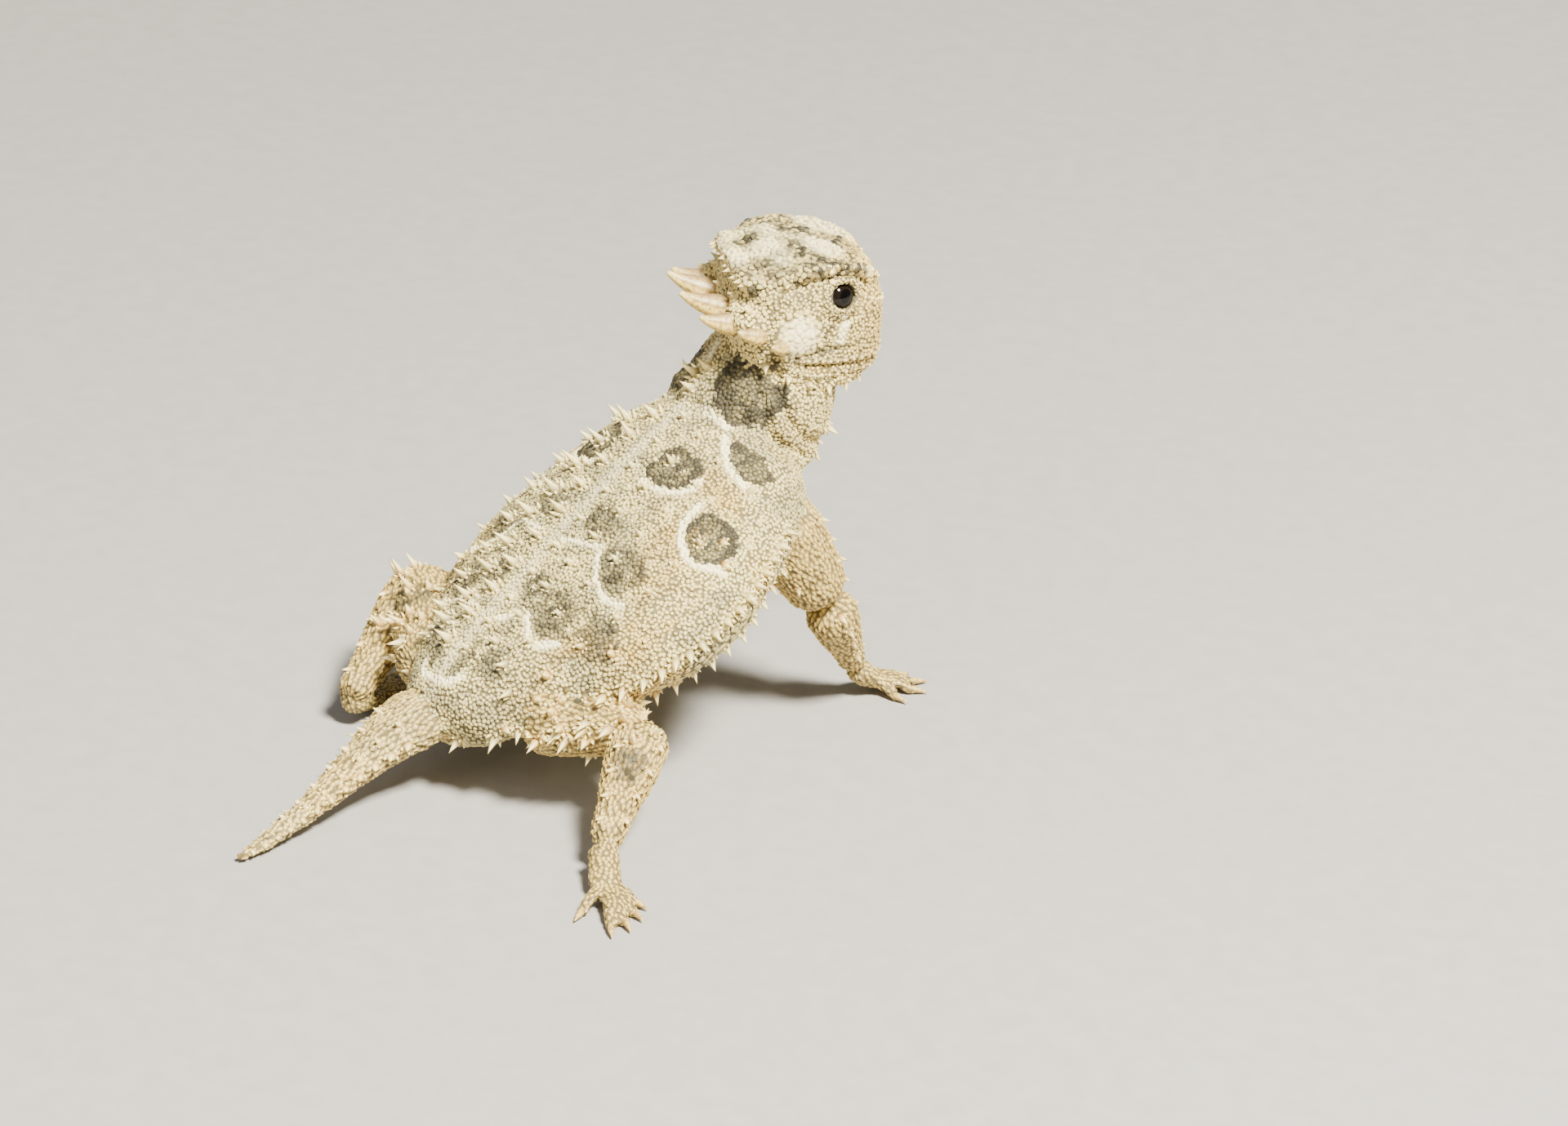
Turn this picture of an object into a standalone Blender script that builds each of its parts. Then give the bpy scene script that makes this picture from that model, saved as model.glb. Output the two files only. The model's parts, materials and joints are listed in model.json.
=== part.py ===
"""A young horned lizard at life size, standing propped on its fore legs and looking to its right.

Run with: blender --background --python part.py

Head, neck, trunk and tail are drawn as rounded tubes through named stations, melted into one
skin and cut apart by thin discs. Each leg is melted on its own, set 0.3 mm off the trunk and cut
at its joints. Spines, lids and claws are joined to the node they grow from.
Lengths are millimetres in this script, and each finished piece is scaled to metres.
The head points along -Y, the back is up, and the animal's right side is -X.
"""

import math
import random
from collections import namedtuple

import bmesh
import bpy
from mathutils import Matrix, Vector
from mathutils.bvhtree import BVHTree

# Overall sizes, in millimetres
METRES = 0.001
JOINT_GAP = 0.32
SKIN_VOXEL = 0.26
GROOVE_VOXEL = 0.1
SOLE = 0.12
KNEE_DISC = 12.0
ANKLE_DISC = 5.0

# Triangles kept on each bare form, before it is parted and its spines are added
AXIAL_TRIANGLES = 4400
LEG_TRIANGLES = 770
GROOVE_TRIANGLES = 420

# The stance
PELVIS = Vector((-2.2, -1.6, 6.6))
TRUNK_PITCH = 28.5
TRUNK_ROLL = 9.5
TRUNK_TURN = 3.0
HEAD_CENTRE = Vector((-2.75, -35.0, 34.6))
HEAD_TURN = 24.0
HEAD_NOD = 4.0
HEAD_TILT = 0.0

Station = namedtuple("Station", "centre width rise drop")
BodyStation = namedtuple("BodyStation", "forward level width rise drop")

# Half width, height above and depth below the widest line, every few millimetres from the vent
TRUNK = [
    BodyStation(-3.0, -0.4, 4.4, 2.8, 2.2),
    BodyStation(0.0, -0.2, 6.8, 4.2, 2.7),
    BodyStation(4.0, -0.4, 9.9, 5.3, 3.4),
    BodyStation(9.0, -1.0, 14.1, 6.4, 4.4),
    BodyStation(14.0, -1.4, 16.2, 7.3, 5.1),
    BodyStation(19.0, -1.4, 16.2, 7.7, 5.4),
    BodyStation(24.0, -0.9, 14.6, 7.6, 5.6),
    BodyStation(28.5, -0.3, 12.2, 7.1, 5.8),
    BodyStation(32.0, 0.2, 9.4, 6.5, 5.6),
    BodyStation(34.5, 0.6, 6.8, 5.2, 5.0),
]

# The skull and jaws, measured forward and up from the middle of the head
HEAD = [
    BodyStation(-7.0, 0.3, 5.4, 4.2, 3.3),
    BodyStation(-5.3, 0.0, 6.6, 5.1, 4.6),
    BodyStation(-2.4, -0.3, 6.7, 5.7, 5.2),
    BodyStation(0.6, -0.5, 6.1, 5.8, 5.4),
    BodyStation(3.4, -0.9, 5.2, 5.6, 5.1),
    BodyStation(5.4, -1.3, 4.2, 4.9, 4.6),
    BodyStation(7.0, -1.8, 3.1, 3.7, 3.6),
]

TAIL = [
    Station(Vector((-1.2, -0.4, 6.9)), 4.4, 2.8, 2.4),
    Station(Vector((-1.0, 3.6, 5.5)), 3.1, 2.1, 1.9),
    Station(Vector((-1.3, 7.4, 4.0)), 2.1, 1.55, 1.5),
    Station(Vector((-2.0, 11.2, 2.6)), 1.5, 1.2, 1.15),
    Station(Vector((-2.8, 15.0, 1.55)), 1.1, 0.92, 0.9),
    Station(Vector((-3.5, 18.4, 0.85)), 0.8, 0.7, 0.7),
    Station(Vector((-3.9, 21.4, 0.4)), 0.45, 0.4, 0.4),
]

# Root, knee or elbow, ankle or wrist, the sole's middle, half thicknesses on the way, the toes'
# headings in degrees from straight ahead out to the side, and the toes' lengths
Leg = namedtuple("Leg", "side root bend end palm radii sole headings toes")

LENGTHS = {"fore": ("upper_arm", "forearm", "hand"), "hind": ("thigh", "shin", "foot")}
FORE_TOES = (2.3, 3.0, 3.5, 3.2, 2.3)
HIND_TOES = (2.8, 4.0, 5.2, 5.9, 3.8)
FORE_RADII = (3.4, 2.9, 2.25, 1.9, 1.15)
HIND_RADII = (3.2, 2.75, 2.45, 2.1, 1.35)
FORE_SOLE = (1.6, 1.9)
HIND_SOLE = (1.55, 2.9)
TOE_RADIUS = 0.52
TOE_ARCH = 1.05
CLAW_LENGTH = 1.3
CLAW_WIDTH = 0.62

# Eyes, lids, mouth, nostrils and ears, as places out to the side, forward and up on the head
EYE_RADIUS = 1.45
EYE_DEPTH = 1.22
EYE_SPOT = (5.2, 2.2, 2.2)
LID_RADIUS = 1.22
LID_THICK = 0.3
LID_LIFT = 1.3
LIP_SPOTS = ((6.0, -0.6, -3.6), (5.2, 2.2, -3.9), (4.0, 5.2, -4.0), (1.7, 7.8, -4.1))
LIP_GROOVE = 0.27
LIP_OUT = 0.07
NOSTRIL_SPOT = (1.7, 7.6, -0.3)
EAR_SPOT = (6.2, -3.4, -3.5)

# Horns: place on the head, heading out, back and up, length and width at the root
HORN_ROOT = 1.0
HORNS = (
    ("horn_occipital", (2.1, -7.2, -0.2), 0.1, 1.0, 0.22, 4.3, 2.2),
    ("horn_temporal_rear", (4.5, -6.8, -0.3), 0.22, 1.0, 0.14, 2.9, 1.8),
    ("horn_temporal_middle", (6.3, -5.0, -0.5), 0.35, 1.0, 0.2, 1.9, 1.45),
    ("horn_temporal_front", (7.0, -3.0, -1.6), 0.9, 0.8, 0.2, 1.7, 1.2),
)

# Spines: sides, sunk root and distance kept from other nodes, then rows as angle from straight
# up, first and last place forward of the vent, spacing, length, width at the root and share laid
# backward
SPINE_SIDES = 5
SPINE_ROOT = 0.5
SPINE_ROOM = 0.8
BACK_ROWS = (
    (14, 3.0, 31.5, 2.9, 1.75, 1.05, 0.15),
    (36, 4.6, 30.5, 2.9, 1.95, 1.1, 0.15),
    (55, 6.0, 29.0, 3.1, 1.5, 1.0, 0.15),
    (72, 8.0, 27.0, 3.1, 1.0, 0.9, 0.15),
)
FRINGE_ROWS = (
    (92, 6.5, 28.0, 1.35, 1.75, 0.95, 0.25),
    (103, 7.2, 26.5, 1.6, 1.15, 0.85, 0.25),
)
NECK_MIDDLE = Vector((-2.0, -30.6, 26.6))
NAPE_SPINES = (
    (-1, 0.25, 1.0, 0.9, 2.0), (1, 0.25, 1.0, 0.9, 2.0),
    (-1, 0.5, 0.9, 0.55, 1.8), (1, 0.5, 0.9, 0.55, 1.8),
    (1, 0.8, 0.7, 0.3, 1.3),
    (-1, 0.35, 1.0, 0.3, 1.6), (1, 0.35, 1.0, 0.3, 1.6),
    (1, 1.0, 0.3, 0.1, 1.2),
)
THROAT_LEVELS = (-0.8, -0.55, -0.3)
TAIL_ROWS = ((84, 0.2, 0.9, 12, 1.2), (38, 0.2, 0.7, 7, 1.0))
LIMB_SPINE = 0.85
UPPER_EDGES = {"fore": ((0.5, 1.0, 0.3), (0.6, -1.0, 0.2)), "hind": ((0.3, 0.6, 0.9), (-0.2, 0.9, -0.1))}
LOWER_EDGES = {"fore": ((1.0, 0.3, 0.3), (0.1, -1.0, 0.3)), "hind": ((1.0, -0.3, 0.4), (0.2, 1.0, 0.5))}
JAW_SPINES = (
    ((6.2, -3.8, -3.6), 1.2), ((6.0, -1.9, -4.6), 1.2), ((5.6, 0.0, -5.3), 1.1),
    ((5.0, 1.8, -5.8), 1.0), ((4.2, 3.5, -6.0), 0.9), ((3.2, 5.1, -6.0), 0.8),
)
CROWN_SPINES = (
    ((0.0, -7.4, 1.4), 0.9), ((3.2, -7.2, 1.8), 0.9), ((5.8, -5.8, 1.4), 0.9),
    ((5.9, -2.8, 3.6), 0.8), ((5.6, 0.9, 4.5), 0.55),
)

SKIN_COLOUR = (0.62, 0.53, 0.38)
HORN_COLOUR = (0.55, 0.42, 0.27)
EYE_COLOUR = (0.012, 0.01, 0.009)

LEGS = {
    "fore_right": Leg(
        -1, Vector((-9.2, -27.2, 20.3)), Vector((-11.0, -32.1, 11.2)), Vector((-8.8, -37.0, 3.3)),
        Vector((-8.5, -39.0, 1.0)), FORE_RADII, FORE_SOLE, (-34, -6, 18, 42, 76), FORE_TOES),
    "fore_left": Leg(
        1, Vector((7.4, -27.0, 17.8)), Vector((12.4, -29.4, 9.8)), Vector((12.0, -35.4, 3.2)),
        Vector((12.0, -37.5, 1.0)), FORE_RADII, FORE_SOLE, (-34, -6, 18, 42, 76), FORE_TOES),
    "hind_right": Leg(
        -1, Vector((-8.0, -3.6, 7.8)), Vector((-16.0, -10.1, 8.3)), Vector((-21.8, -1.7, 2.6)),
        Vector((-24.7, 0.3, 1.0)), HIND_RADII, HIND_SOLE, (76, 94, 109, 122, 152), HIND_TOES),
    "hind_left": Leg(
        1, Vector((3.8, -3.4, 6.4)), Vector((14.8, -10.0, 9.4)), Vector((10.6, 0.4, 2.9)),
        Vector((12.4, -2.8, 1.0)), HIND_RADII, HIND_SOLE, (-8, 8, 22, 36, 68), HIND_TOES),
}


def turned(x=0.0, y=0.0, z=0.0):
    """A rotation of so many degrees about X, then Y, then Z."""
    return (
        Matrix.Rotation(math.radians(z), 4, "Z")
        @ Matrix.Rotation(math.radians(y), 4, "Y")
        @ Matrix.Rotation(math.radians(x), 4, "X")
    )


TRUNK_PLACE = Matrix.Translation(PELVIS) @ turned(x=-TRUNK_PITCH, y=TRUNK_ROLL, z=-TRUNK_TURN)
HEAD_PLACE = Matrix.Translation(HEAD_CENTRE) @ turned(x=HEAD_NOD, y=-HEAD_TILT, z=-HEAD_TURN)


def smooth_through(points, share):
    """The point at a share of the way along a smooth curve through the given ones."""
    spans = len(points) - 1
    place = min(max(share, 0.0), 1.0) * spans
    k = min(int(place), spans - 1)
    f = place - k
    before = points[k - 1] if k else points[0] * 2 - points[1]
    after = points[k + 2] if k + 2 <= spans else points[spans] * 2 - points[spans - 1]
    a, b = points[k], points[k + 1]
    return (
        a * (2 * f**3 - 3 * f**2 + 1)
        + (b - before) * 0.5 * (f**3 - 2 * f**2 + f)
        + b * (3 * f**2 - 2 * f**3)
        + (after - a) * 0.5 * (f**3 - f**2)
    )


def section_point(angle, width, rise, drop, fullness):
    """A point of a rounded cross-section: sideways and up, in millimetres."""
    across, up = math.cos(angle), math.sin(angle)
    reach = (abs(across) ** fullness + abs(up) ** fullness) ** (-1.0 / fullness)
    return width * across * reach, (rise if up > 0 else drop) * up * reach


def fleshy_tube(
        name, stations, around=32, along=40, upward=Vector((0, 0, 1)), fullness=2.0, end=0.8, facing=None):
    """A closed rounded form drawn over the stations, from a sphere whose rings follow them.

    The rings lie square to the path, or to the facing direction when one is given.
    """
    centres = [s.centre for s in stations]
    sizes = [Vector((s.width, s.rise, s.drop)) for s in stations]
    length = sum((b - a).length for a, b in zip(centres, centres[1:]))
    caps = [min(0.45, end * min(s.width, s.rise + s.drop) / length) for s in (stations[0], stations[-1])]
    bm = bmesh.new()
    bmesh.ops.create_uvsphere(bm, u_segments=around, v_segments=along, radius=1.0)
    for vert in bm.verts:
        share = math.acos(max(-1.0, min(1.0, vert.co.z))) / math.pi
        angle = math.atan2(vert.co.y, vert.co.x)
        step = 0.01
        ahead = facing or smooth_through(centres, share + step) - smooth_through(centres, share - step)
        side = ahead.cross(upward).normalized()
        up = side.cross(ahead).normalized()
        full = 1.0
        for left, cap in ((share, caps[0]), (1.0 - share, caps[1])):
            if left < cap:
                full *= math.sqrt(max(0.0, 1.0 - (1.0 - left / cap) ** 2))
        width, rise, drop = smooth_through(sizes, share) * full
        x, z = section_point(angle, width, rise, drop, fullness)
        vert.co = smooth_through(centres, share) + side * x + up * z
    bmesh.ops.recalc_face_normals(bm, faces=bm.faces)
    return finished(bm, name)


def round_stations(*rows):
    """Stations from pairs of a point and its half thickness."""
    return [Station(Vector(at), r, r, r) for at, r in rows]


def finished(bm, name):
    """The bmesh as a named object in the scene."""
    mesh = bpy.data.meshes.new(name)
    bm.to_mesh(mesh)
    bm.free()
    made = bpy.data.objects.new(name, mesh)
    bpy.context.scene.collection.objects.link(made)
    return made


def placed_stations(rows, place):
    """Trunk or head rows as stations in the animal's own frame."""
    return [
        Station(place @ Vector((0.0, -r.forward, r.level)), r.width, r.rise, r.drop) for r in rows
    ]


def on_head(side, out, forward, up):
    """A place in the head's own measure: out to a side, forward and up."""
    return HEAD_PLACE @ Vector((side * out, -forward, up))


def torso_form():
    up = TRUNK_PLACE.to_3x3() @ Vector((0, 0, 1))
    return fleshy_tube("torso_form", placed_stations(TRUNK, TRUNK_PLACE), 48, 56, up, 2.05)


def neck_form():
    rows = [
        Station(TRUNK_PLACE @ Vector((0.0, -29.5, 0.4)), 10.0, 6.6, 5.8),
        Station(TRUNK_PLACE @ Vector((-0.5, -34.0, 2.0)), 7.6, 6.4, 6.2),
        Station(Vector((-1.9, -31.8, 27.4)), 6.4, 5.7, 6.2),
        Station(HEAD_PLACE @ Vector((0.0, 2.0, -1.4)), 5.4, 4.0, 4.8),
    ]
    return fleshy_tube("neck_form", rows, 32, 30)


def head_forms():
    """The skull with its crest and brow ridges, the shelves of the temple horns, and the jaw edges."""
    turn = HEAD_PLACE.to_3x3()
    forms = [fleshy_tube(
        "skull_form", placed_stations(HEAD, HEAD_PLACE), 40, 44, turn @ Vector((0, 0, 1)), 3.0, 0.8,
        turn @ Vector((0, -1, 0)))]
    for side in (-1, 1):
        forms.append(fleshy_tube("brow_form", round_stations(
            (on_head(side, 5.2, -4.6, 3.4), 0.9),
            (on_head(side, 5.2, -2.6, 3.9), 1.0),
            (on_head(side, 5.0, -0.8, 4.1), 1.05),
            (on_head(side, 4.3, 2.4, 3.9), 1.0),
            (on_head(side, 2.9, 5.4, 2.8), 0.85)), 12, 20))
        forms.append(fleshy_tube("temple_form", round_stations(
            (on_head(side, 3.2, -6.6, 0.5), 1.1),
            (on_head(side, 5.6, -5.6, 0.0), 1.2),
            (on_head(side, 6.1, -3.4, -1.2), 1.0)), 12, 16))
        forms.append(fleshy_tube("jaw_form", round_stations(
            (on_head(side, 5.4, -3.2, -3.8), 0.9),
            (on_head(side, 5.0, 0.0, -4.8), 1.0),
            (on_head(side, 4.0, 2.8, -5.2), 1.0),
            (on_head(side, 2.7, 5.0, -5.2), 0.8)), 12, 16))
    forms.append(fleshy_tube("crest_form", round_stations(
        (on_head(-1, 5.4, -4.0, 3.0), 0.8),
        (on_head(-1, 4.6, -5.6, 3.8), 0.85),
        (on_head(1, 0.0, -6.4, 4.2), 0.9),
        (on_head(1, 4.6, -5.6, 3.8), 0.85),
        (on_head(1, 5.4, -4.0, 3.0), 0.8)), 12, 24))
    return forms


def joined(forms, name):
    """All forms as one object."""
    bm = bmesh.new()
    for form in forms:
        bm.from_mesh(form.data)
        bpy.data.objects.remove(form)
    return finished(bm, name)


def applied(body, name, kind, **settings):
    """Adds one modifier, sets it and applies it."""
    modifier = body.modifiers.new(name, kind)
    for key, value in settings.items():
        setattr(modifier, key, value)
    graph = bpy.context.evaluated_depsgraph_get()
    mesh = bpy.data.meshes.new_from_object(body.evaluated_get(graph))
    body.modifiers.clear()
    body.data = mesh
    return body


def melted(forms, name, rounds, voxel=SKIN_VOXEL):
    """Overlapping forms as one closed skin with softened creases."""
    body = joined(forms, name)
    applied(body, "Melt", "REMESH", mode="VOXEL", voxel_size=voxel)
    applied(body, "Soften", "SMOOTH", factor=0.5, iterations=rounds)
    return body


def triangle_count(body):
    return sum(len(face.vertices) - 2 for face in body.data.polygons)


def thinned(body, wanted):
    share = wanted / triangle_count(body)
    if share < 1.0:
        applied(body, "Thin", "DECIMATE", ratio=share)
    return body


def largest_shell(bm):
    """Keeps the piece of the mesh with the most faces, and removes crumbs left by a cut."""
    seen, shells = set(), []
    for start in bm.faces:
        if start in seen:
            continue
        seen.add(start)
        shell, stack = [], [start]
        while stack:
            face = stack.pop()
            shell.append(face)
            for edge in face.edges:
                for other in edge.link_faces:
                    if other not in seen:
                        seen.add(other)
                        stack.append(other)
        shells.append(shell)
    shells.sort(key=len, reverse=True)
    for shell in shells[1:]:
        bmesh.ops.delete(bm, geom=shell, context="FACES")


def tidied(body):
    """Keeps only the body's largest closed surface, in triangles."""
    bm = bmesh.new()
    bm.from_mesh(body.data)
    bmesh.ops.triangulate(bm, faces=bm.faces)
    largest_shell(bm)
    bmesh.ops.recalc_face_normals(bm, faces=bm.faces)
    bm.to_mesh(body.data)
    bm.free()
    return body


def combined(body, others, operation, solver="EXACT"):
    """Unites the body with the others, or cuts them away, in one Boolean on a collection."""
    group = bpy.data.collections.new("operands")
    bpy.context.scene.collection.children.link(group)
    for other in others:
        group.objects.link(other)
    applied(body, operation.title(), "BOOLEAN", operation=operation, solver=solver,
            operand_type="COLLECTION", collection=group)
    for other in others:
        bpy.data.objects.remove(other)
    bpy.data.collections.remove(group)
    return body


def disc(centre, normal, radius, thick=JOINT_GAP):
    """A thin closed disc that parts two nodes."""
    bm = bmesh.new()
    bmesh.ops.create_cone(bm, cap_ends=True, segments=40, radius1=radius, radius2=radius, depth=thick)
    bm.transform(Matrix.Translation(centre) @ normal.to_track_quat("Z", "Y").to_matrix().to_4x4())
    return finished(bm, "disc")


def floor_block():
    """A block under the soles that trims toes and tail flat."""
    bm = bmesh.new()
    bmesh.ops.create_cube(bm, size=1.0, matrix=Matrix.Translation((0, -10, -10)) @ Matrix.Diagonal((120, 120, 20, 1)))
    return finished(bm, "floor_block")


def separated(body):
    """The loose pieces of a body, each its own object."""
    bm = bmesh.new()
    bm.from_mesh(body.data)
    bm.verts.ensure_lookup_table()
    seen, pieces = set(), []
    for start in bm.verts:
        if start.index in seen:
            continue
        seen.add(start.index)
        stack, shell = [start], set()
        while stack:
            vert = stack.pop()
            shell.add(vert.index)
            for edge in vert.link_edges:
                other = edge.other_vert(vert)
                if other.index not in seen:
                    seen.add(other.index)
                    stack.append(other)
        pieces.append(shell)
    made = []
    for shell in pieces:
        part = bm.copy()
        part.verts.ensure_lookup_table()
        outside = [v for v in part.verts if v.index not in shell]
        bmesh.ops.delete(part, geom=outside, context="VERTS")
        made.append(finished(part, "piece"))
    bm.free()
    bpy.data.objects.remove(body)
    return made


def nearest_named(pieces, seeds):
    """Names each piece after the seed point nearest to its middle, the largest piece first."""
    named = {}
    for piece in sorted(pieces, key=lambda p: -len(p.data.vertices)):
        middle = sum((v.co for v in piece.data.vertices), Vector()) / len(piece.data.vertices)
        name = min(seeds, key=lambda key: (seeds[key] - middle).length)
        if name in named:
            bpy.data.objects.remove(piece)
            continue
        piece.name = name
        named[name] = piece
    return named


def tree_of(body):
    bm = bmesh.new()
    bm.from_mesh(body.data)
    tree = BVHTree.FromBMesh(bm)
    bm.free()
    return tree


def axial_body():
    """Head, neck, trunk and tail as one skin."""
    forms = [torso_form(), neck_form(), fleshy_tube("tail_form", TAIL, 24, 40)]
    forms += head_forms()
    return melted(forms, "axial_skin", 9)


def cut_axial(skin):
    """Parts the axial skin at the throat, the shoulders and the tail root."""
    neck_low = TRUNK_PLACE @ Vector((0.0, -33.4, 1.4))
    neck_high = Vector((-2.2, -32.4, 29.2))
    tail_root = Vector((-1.3, 1.2, 6.0))
    discs = [
        disc(neck_low, (Vector((-2.0, -31.8, 27.4)) - TRUNK_PLACE @ Vector((0, -29, 0))).normalized(), 11.0),
        disc(neck_high, Vector((-0.3, -0.75, 1.0)).normalized(), 9.5),
        disc(tail_root, Vector((-0.06, 1.0, -0.36)).normalized(), 7.0),
    ]
    combined(skin, discs + [floor_block()], "DIFFERENCE")
    seeds = {
        "torso": TRUNK_PLACE @ Vector((0.0, -17.0, 0.0)),
        "neck": Vector((-2.0, -28.6, 28.0)),
        "head": on_head(0, 0, 1.0, -0.5),
        "tail": Vector((-2.8, 15.0, 1.7)),
    }
    return nearest_named(separated(skin), seeds)


def toe_stations(leg, heading, length, radius):
    """One toe, arched a little and flat-tipped on the floor."""
    turn = math.radians(heading)
    way = Vector((leg.side * math.sin(turn), -math.cos(turn), 0.0))
    start = Vector((leg.palm.x, leg.palm.y, 0.0)) + way * 0.6
    return way, round_stations(
        (start + Vector((0, 0, 0.9)), radius * 1.1),
        (start + way * length * 0.45 + Vector((0, 0, TOE_ARCH)), radius),
        (start + way * length * 0.85 + Vector((0, 0, radius - SOLE + 0.05)), radius * 0.94),
        (start + way * length + Vector((0, 0, radius - SOLE)), radius * 0.8))


def leg_form(leg):
    """One leg with its sole and toes, melted into one skin."""
    root, bend, end, r = leg.root, leg.bend, leg.end, leg.radii
    across = Vector((0.0, 0.35, 1.0)) if abs(bend.x - root.x) > 6.0 else Vector((leg.side, 0.2, 0.0))
    forms = [
        fleshy_tube("upper_form", round_stations(
            (root, r[0]), (root.lerp(bend, 0.5), r[1] * 1.06), (bend, r[2])), 20, 22, across),
        fleshy_tube("lower_form", round_stations(
            (bend, r[2]), (bend.lerp(end, 0.35), r[3] * 1.08), (bend.lerp(end, 0.75), r[4] * 1.15),
            (end, r[4])), 20, 22, Vector((leg.side, 0.2, 0.1))),
    ]
    way = (leg.palm - end)
    way.z = 0.0
    way.normalize()
    width, reach = leg.sole
    forms.append(fleshy_tube("sole_form", [
        Station(end + Vector((0, 0, -0.2)), r[4], r[4], r[4]),
        Station(end.lerp(leg.palm, 0.6) + Vector((0, 0, 0.1)), width * 0.85, 0.95, 1.1),
        Station(leg.palm + way * reach * 0.4 + Vector((0, 0, 0.05)), width, 0.8, 1.05)], 20, 18))
    for heading, length in zip(leg.headings, leg.toes):
        forms.append(fleshy_tube("toe_form", toe_stations(leg, heading, length, TOE_RADIUS)[1], 10, 14))
    return melted(forms, "leg_skin", 3)


def grown_by(body, distance):
    """A copy of the body with its surface moved outward."""
    copy = body.copy()
    copy.data = body.data.copy()
    bpy.context.scene.collection.objects.link(copy)
    return applied(copy, "Grow", "DISPLACE", strength=distance, mid_level=0.0)


def cut_leg(name, leg, trunk):
    """One leg set off the trunk and parted at its two joints."""
    skin = thinned(leg_form(leg), LEG_TRIANGLES)
    combined(skin, [grown_by(trunk, 0.0), floor_block()], "DIFFERENCE")
    tidied(skin)
    upper, lower, foot = (
        (b - a).normalized() for a, b in ((leg.root, leg.bend), (leg.bend, leg.end), (leg.end, leg.palm))
    )
    discs = [
        disc(leg.bend, (upper + lower).normalized(), KNEE_DISC),
        disc(leg.end, (lower + foot).normalized(), ANKLE_DISC),
    ]
    combined(skin, discs, "DIFFERENCE")
    kind, side = name.split("_")
    lengths = LENGTHS[kind]
    seeds = {
        f"{lengths[0]}_{side}": leg.root.lerp(leg.bend, 0.55),
        f"{lengths[1]}_{side}": leg.bend.lerp(leg.end, 0.5),
        f"{lengths[2]}_{side}": leg.palm,
    }
    return nearest_named(separated(skin), seeds)


def skin_at(tree, place):
    """The nearest point of a skin to a place, and the way out of the skin there."""
    at, normal, index, distance = tree.find_nearest(place)
    return at, normal


def skin_along(tree, start, way):
    """Where a line from inside a body leaves its skin, and the way out there."""
    at, normal, index, distance = tree.ray_cast(start, way)
    if at is None:
        return skin_at(tree, start)
    return at, normal if normal.dot(way) > 0 else -normal


def spine(at, way, length, width):
    """A stout thorn with its root sunk in the skin."""
    bm = bmesh.new()
    bmesh.ops.create_cone(
        bm, cap_ends=True, segments=SPINE_SIDES, radius1=width / 2, radius2=0.0, depth=length + SPINE_ROOT)
    bm.transform(
        Matrix.Translation(at + way * (length - SPINE_ROOT) / 2)
        @ way.to_track_quat("Z", "Y").to_matrix().to_4x4())
    return finished(bm, "spine")


def planted(others, at, way, length, width):
    """A list of one spine, or an empty one where it would come too near another node's skin."""
    for share in (0.25, 0.6, 1.0):
        place = at + way * length * share
        if any(tree.find_nearest(place)[3] < SPINE_ROOM for tree in others):
            return []
    return [spine(at, way, length, width)]


def leaned(normal, lean, share):
    """A spine's heading: out of the skin, laid over by a share toward a direction."""
    return (normal * (1.0 - share) + lean * share).normalized()


def row_of_spines(tree, others, feet, ways, lean, sizes, chance):
    """Spines where lines from the body's axis leave its skin, each a little unlike the next."""
    made = []
    for start, way in zip(feet, ways):
        at, normal = skin_along(tree, start, way)
        length, width, share = sizes
        made += planted(others, at, leaned(normal, lean, share), length * chance.uniform(0.85, 1.12), width)
    return made


def trunk_row(tree, others, row, chance):
    """One row of spines along one side of the trunk."""
    side, angle, first, last, step, length, width, share = row
    turn = TRUNK_PLACE.to_3x3()
    way = turn @ Vector((side * math.sin(math.radians(angle)), 0.0, math.cos(math.radians(angle))))
    back = turn @ Vector((0.0, 1.0, 0.0))
    feet, forward = [], first
    while forward <= last:
        feet.append(TRUNK_PLACE @ Vector((0.0, -forward, -0.6)))
        forward += step
    return row_of_spines(tree, others, feet, [way] * len(feet), back, (length, width, share), chance)


def torso_spines(body, others):
    """The rows down the back and the two fringes along each flank."""
    tree, chance, made = tree_of(body), random.Random(3), []
    for side in (-1, 1):
        for row in BACK_ROWS + FRINGE_ROWS:
            made += trunk_row(tree, others, (side,) + row, chance)
    return made


def neck_spines(body, others):
    """The thorn clusters of the nape and the short rows of the throat."""
    tree, chance, made = tree_of(body), random.Random(5), []
    for side, out, back, up, length in NAPE_SPINES:
        way = Vector((side * out, back, up)).normalized()
        at, normal = skin_along(tree, NECK_MIDDLE + Vector((0.0, 0.0, chance.uniform(-0.2, 0.2))), way)
        made += planted(others, at, leaned(normal, Vector((0, 0.6, 0.8)), 0.2), length, 0.95)
    for side in (-1, 1):
        for level in THROAT_LEVELS:
            way = Vector((side * 0.75, -0.66, level)).normalized()
            at, normal = skin_along(tree, NECK_MIDDLE, way)
            made += planted(others, at, leaned(normal, Vector((0, 0.2, -1.0)), 0.25), 1.15, 0.85)
    return made


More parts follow.
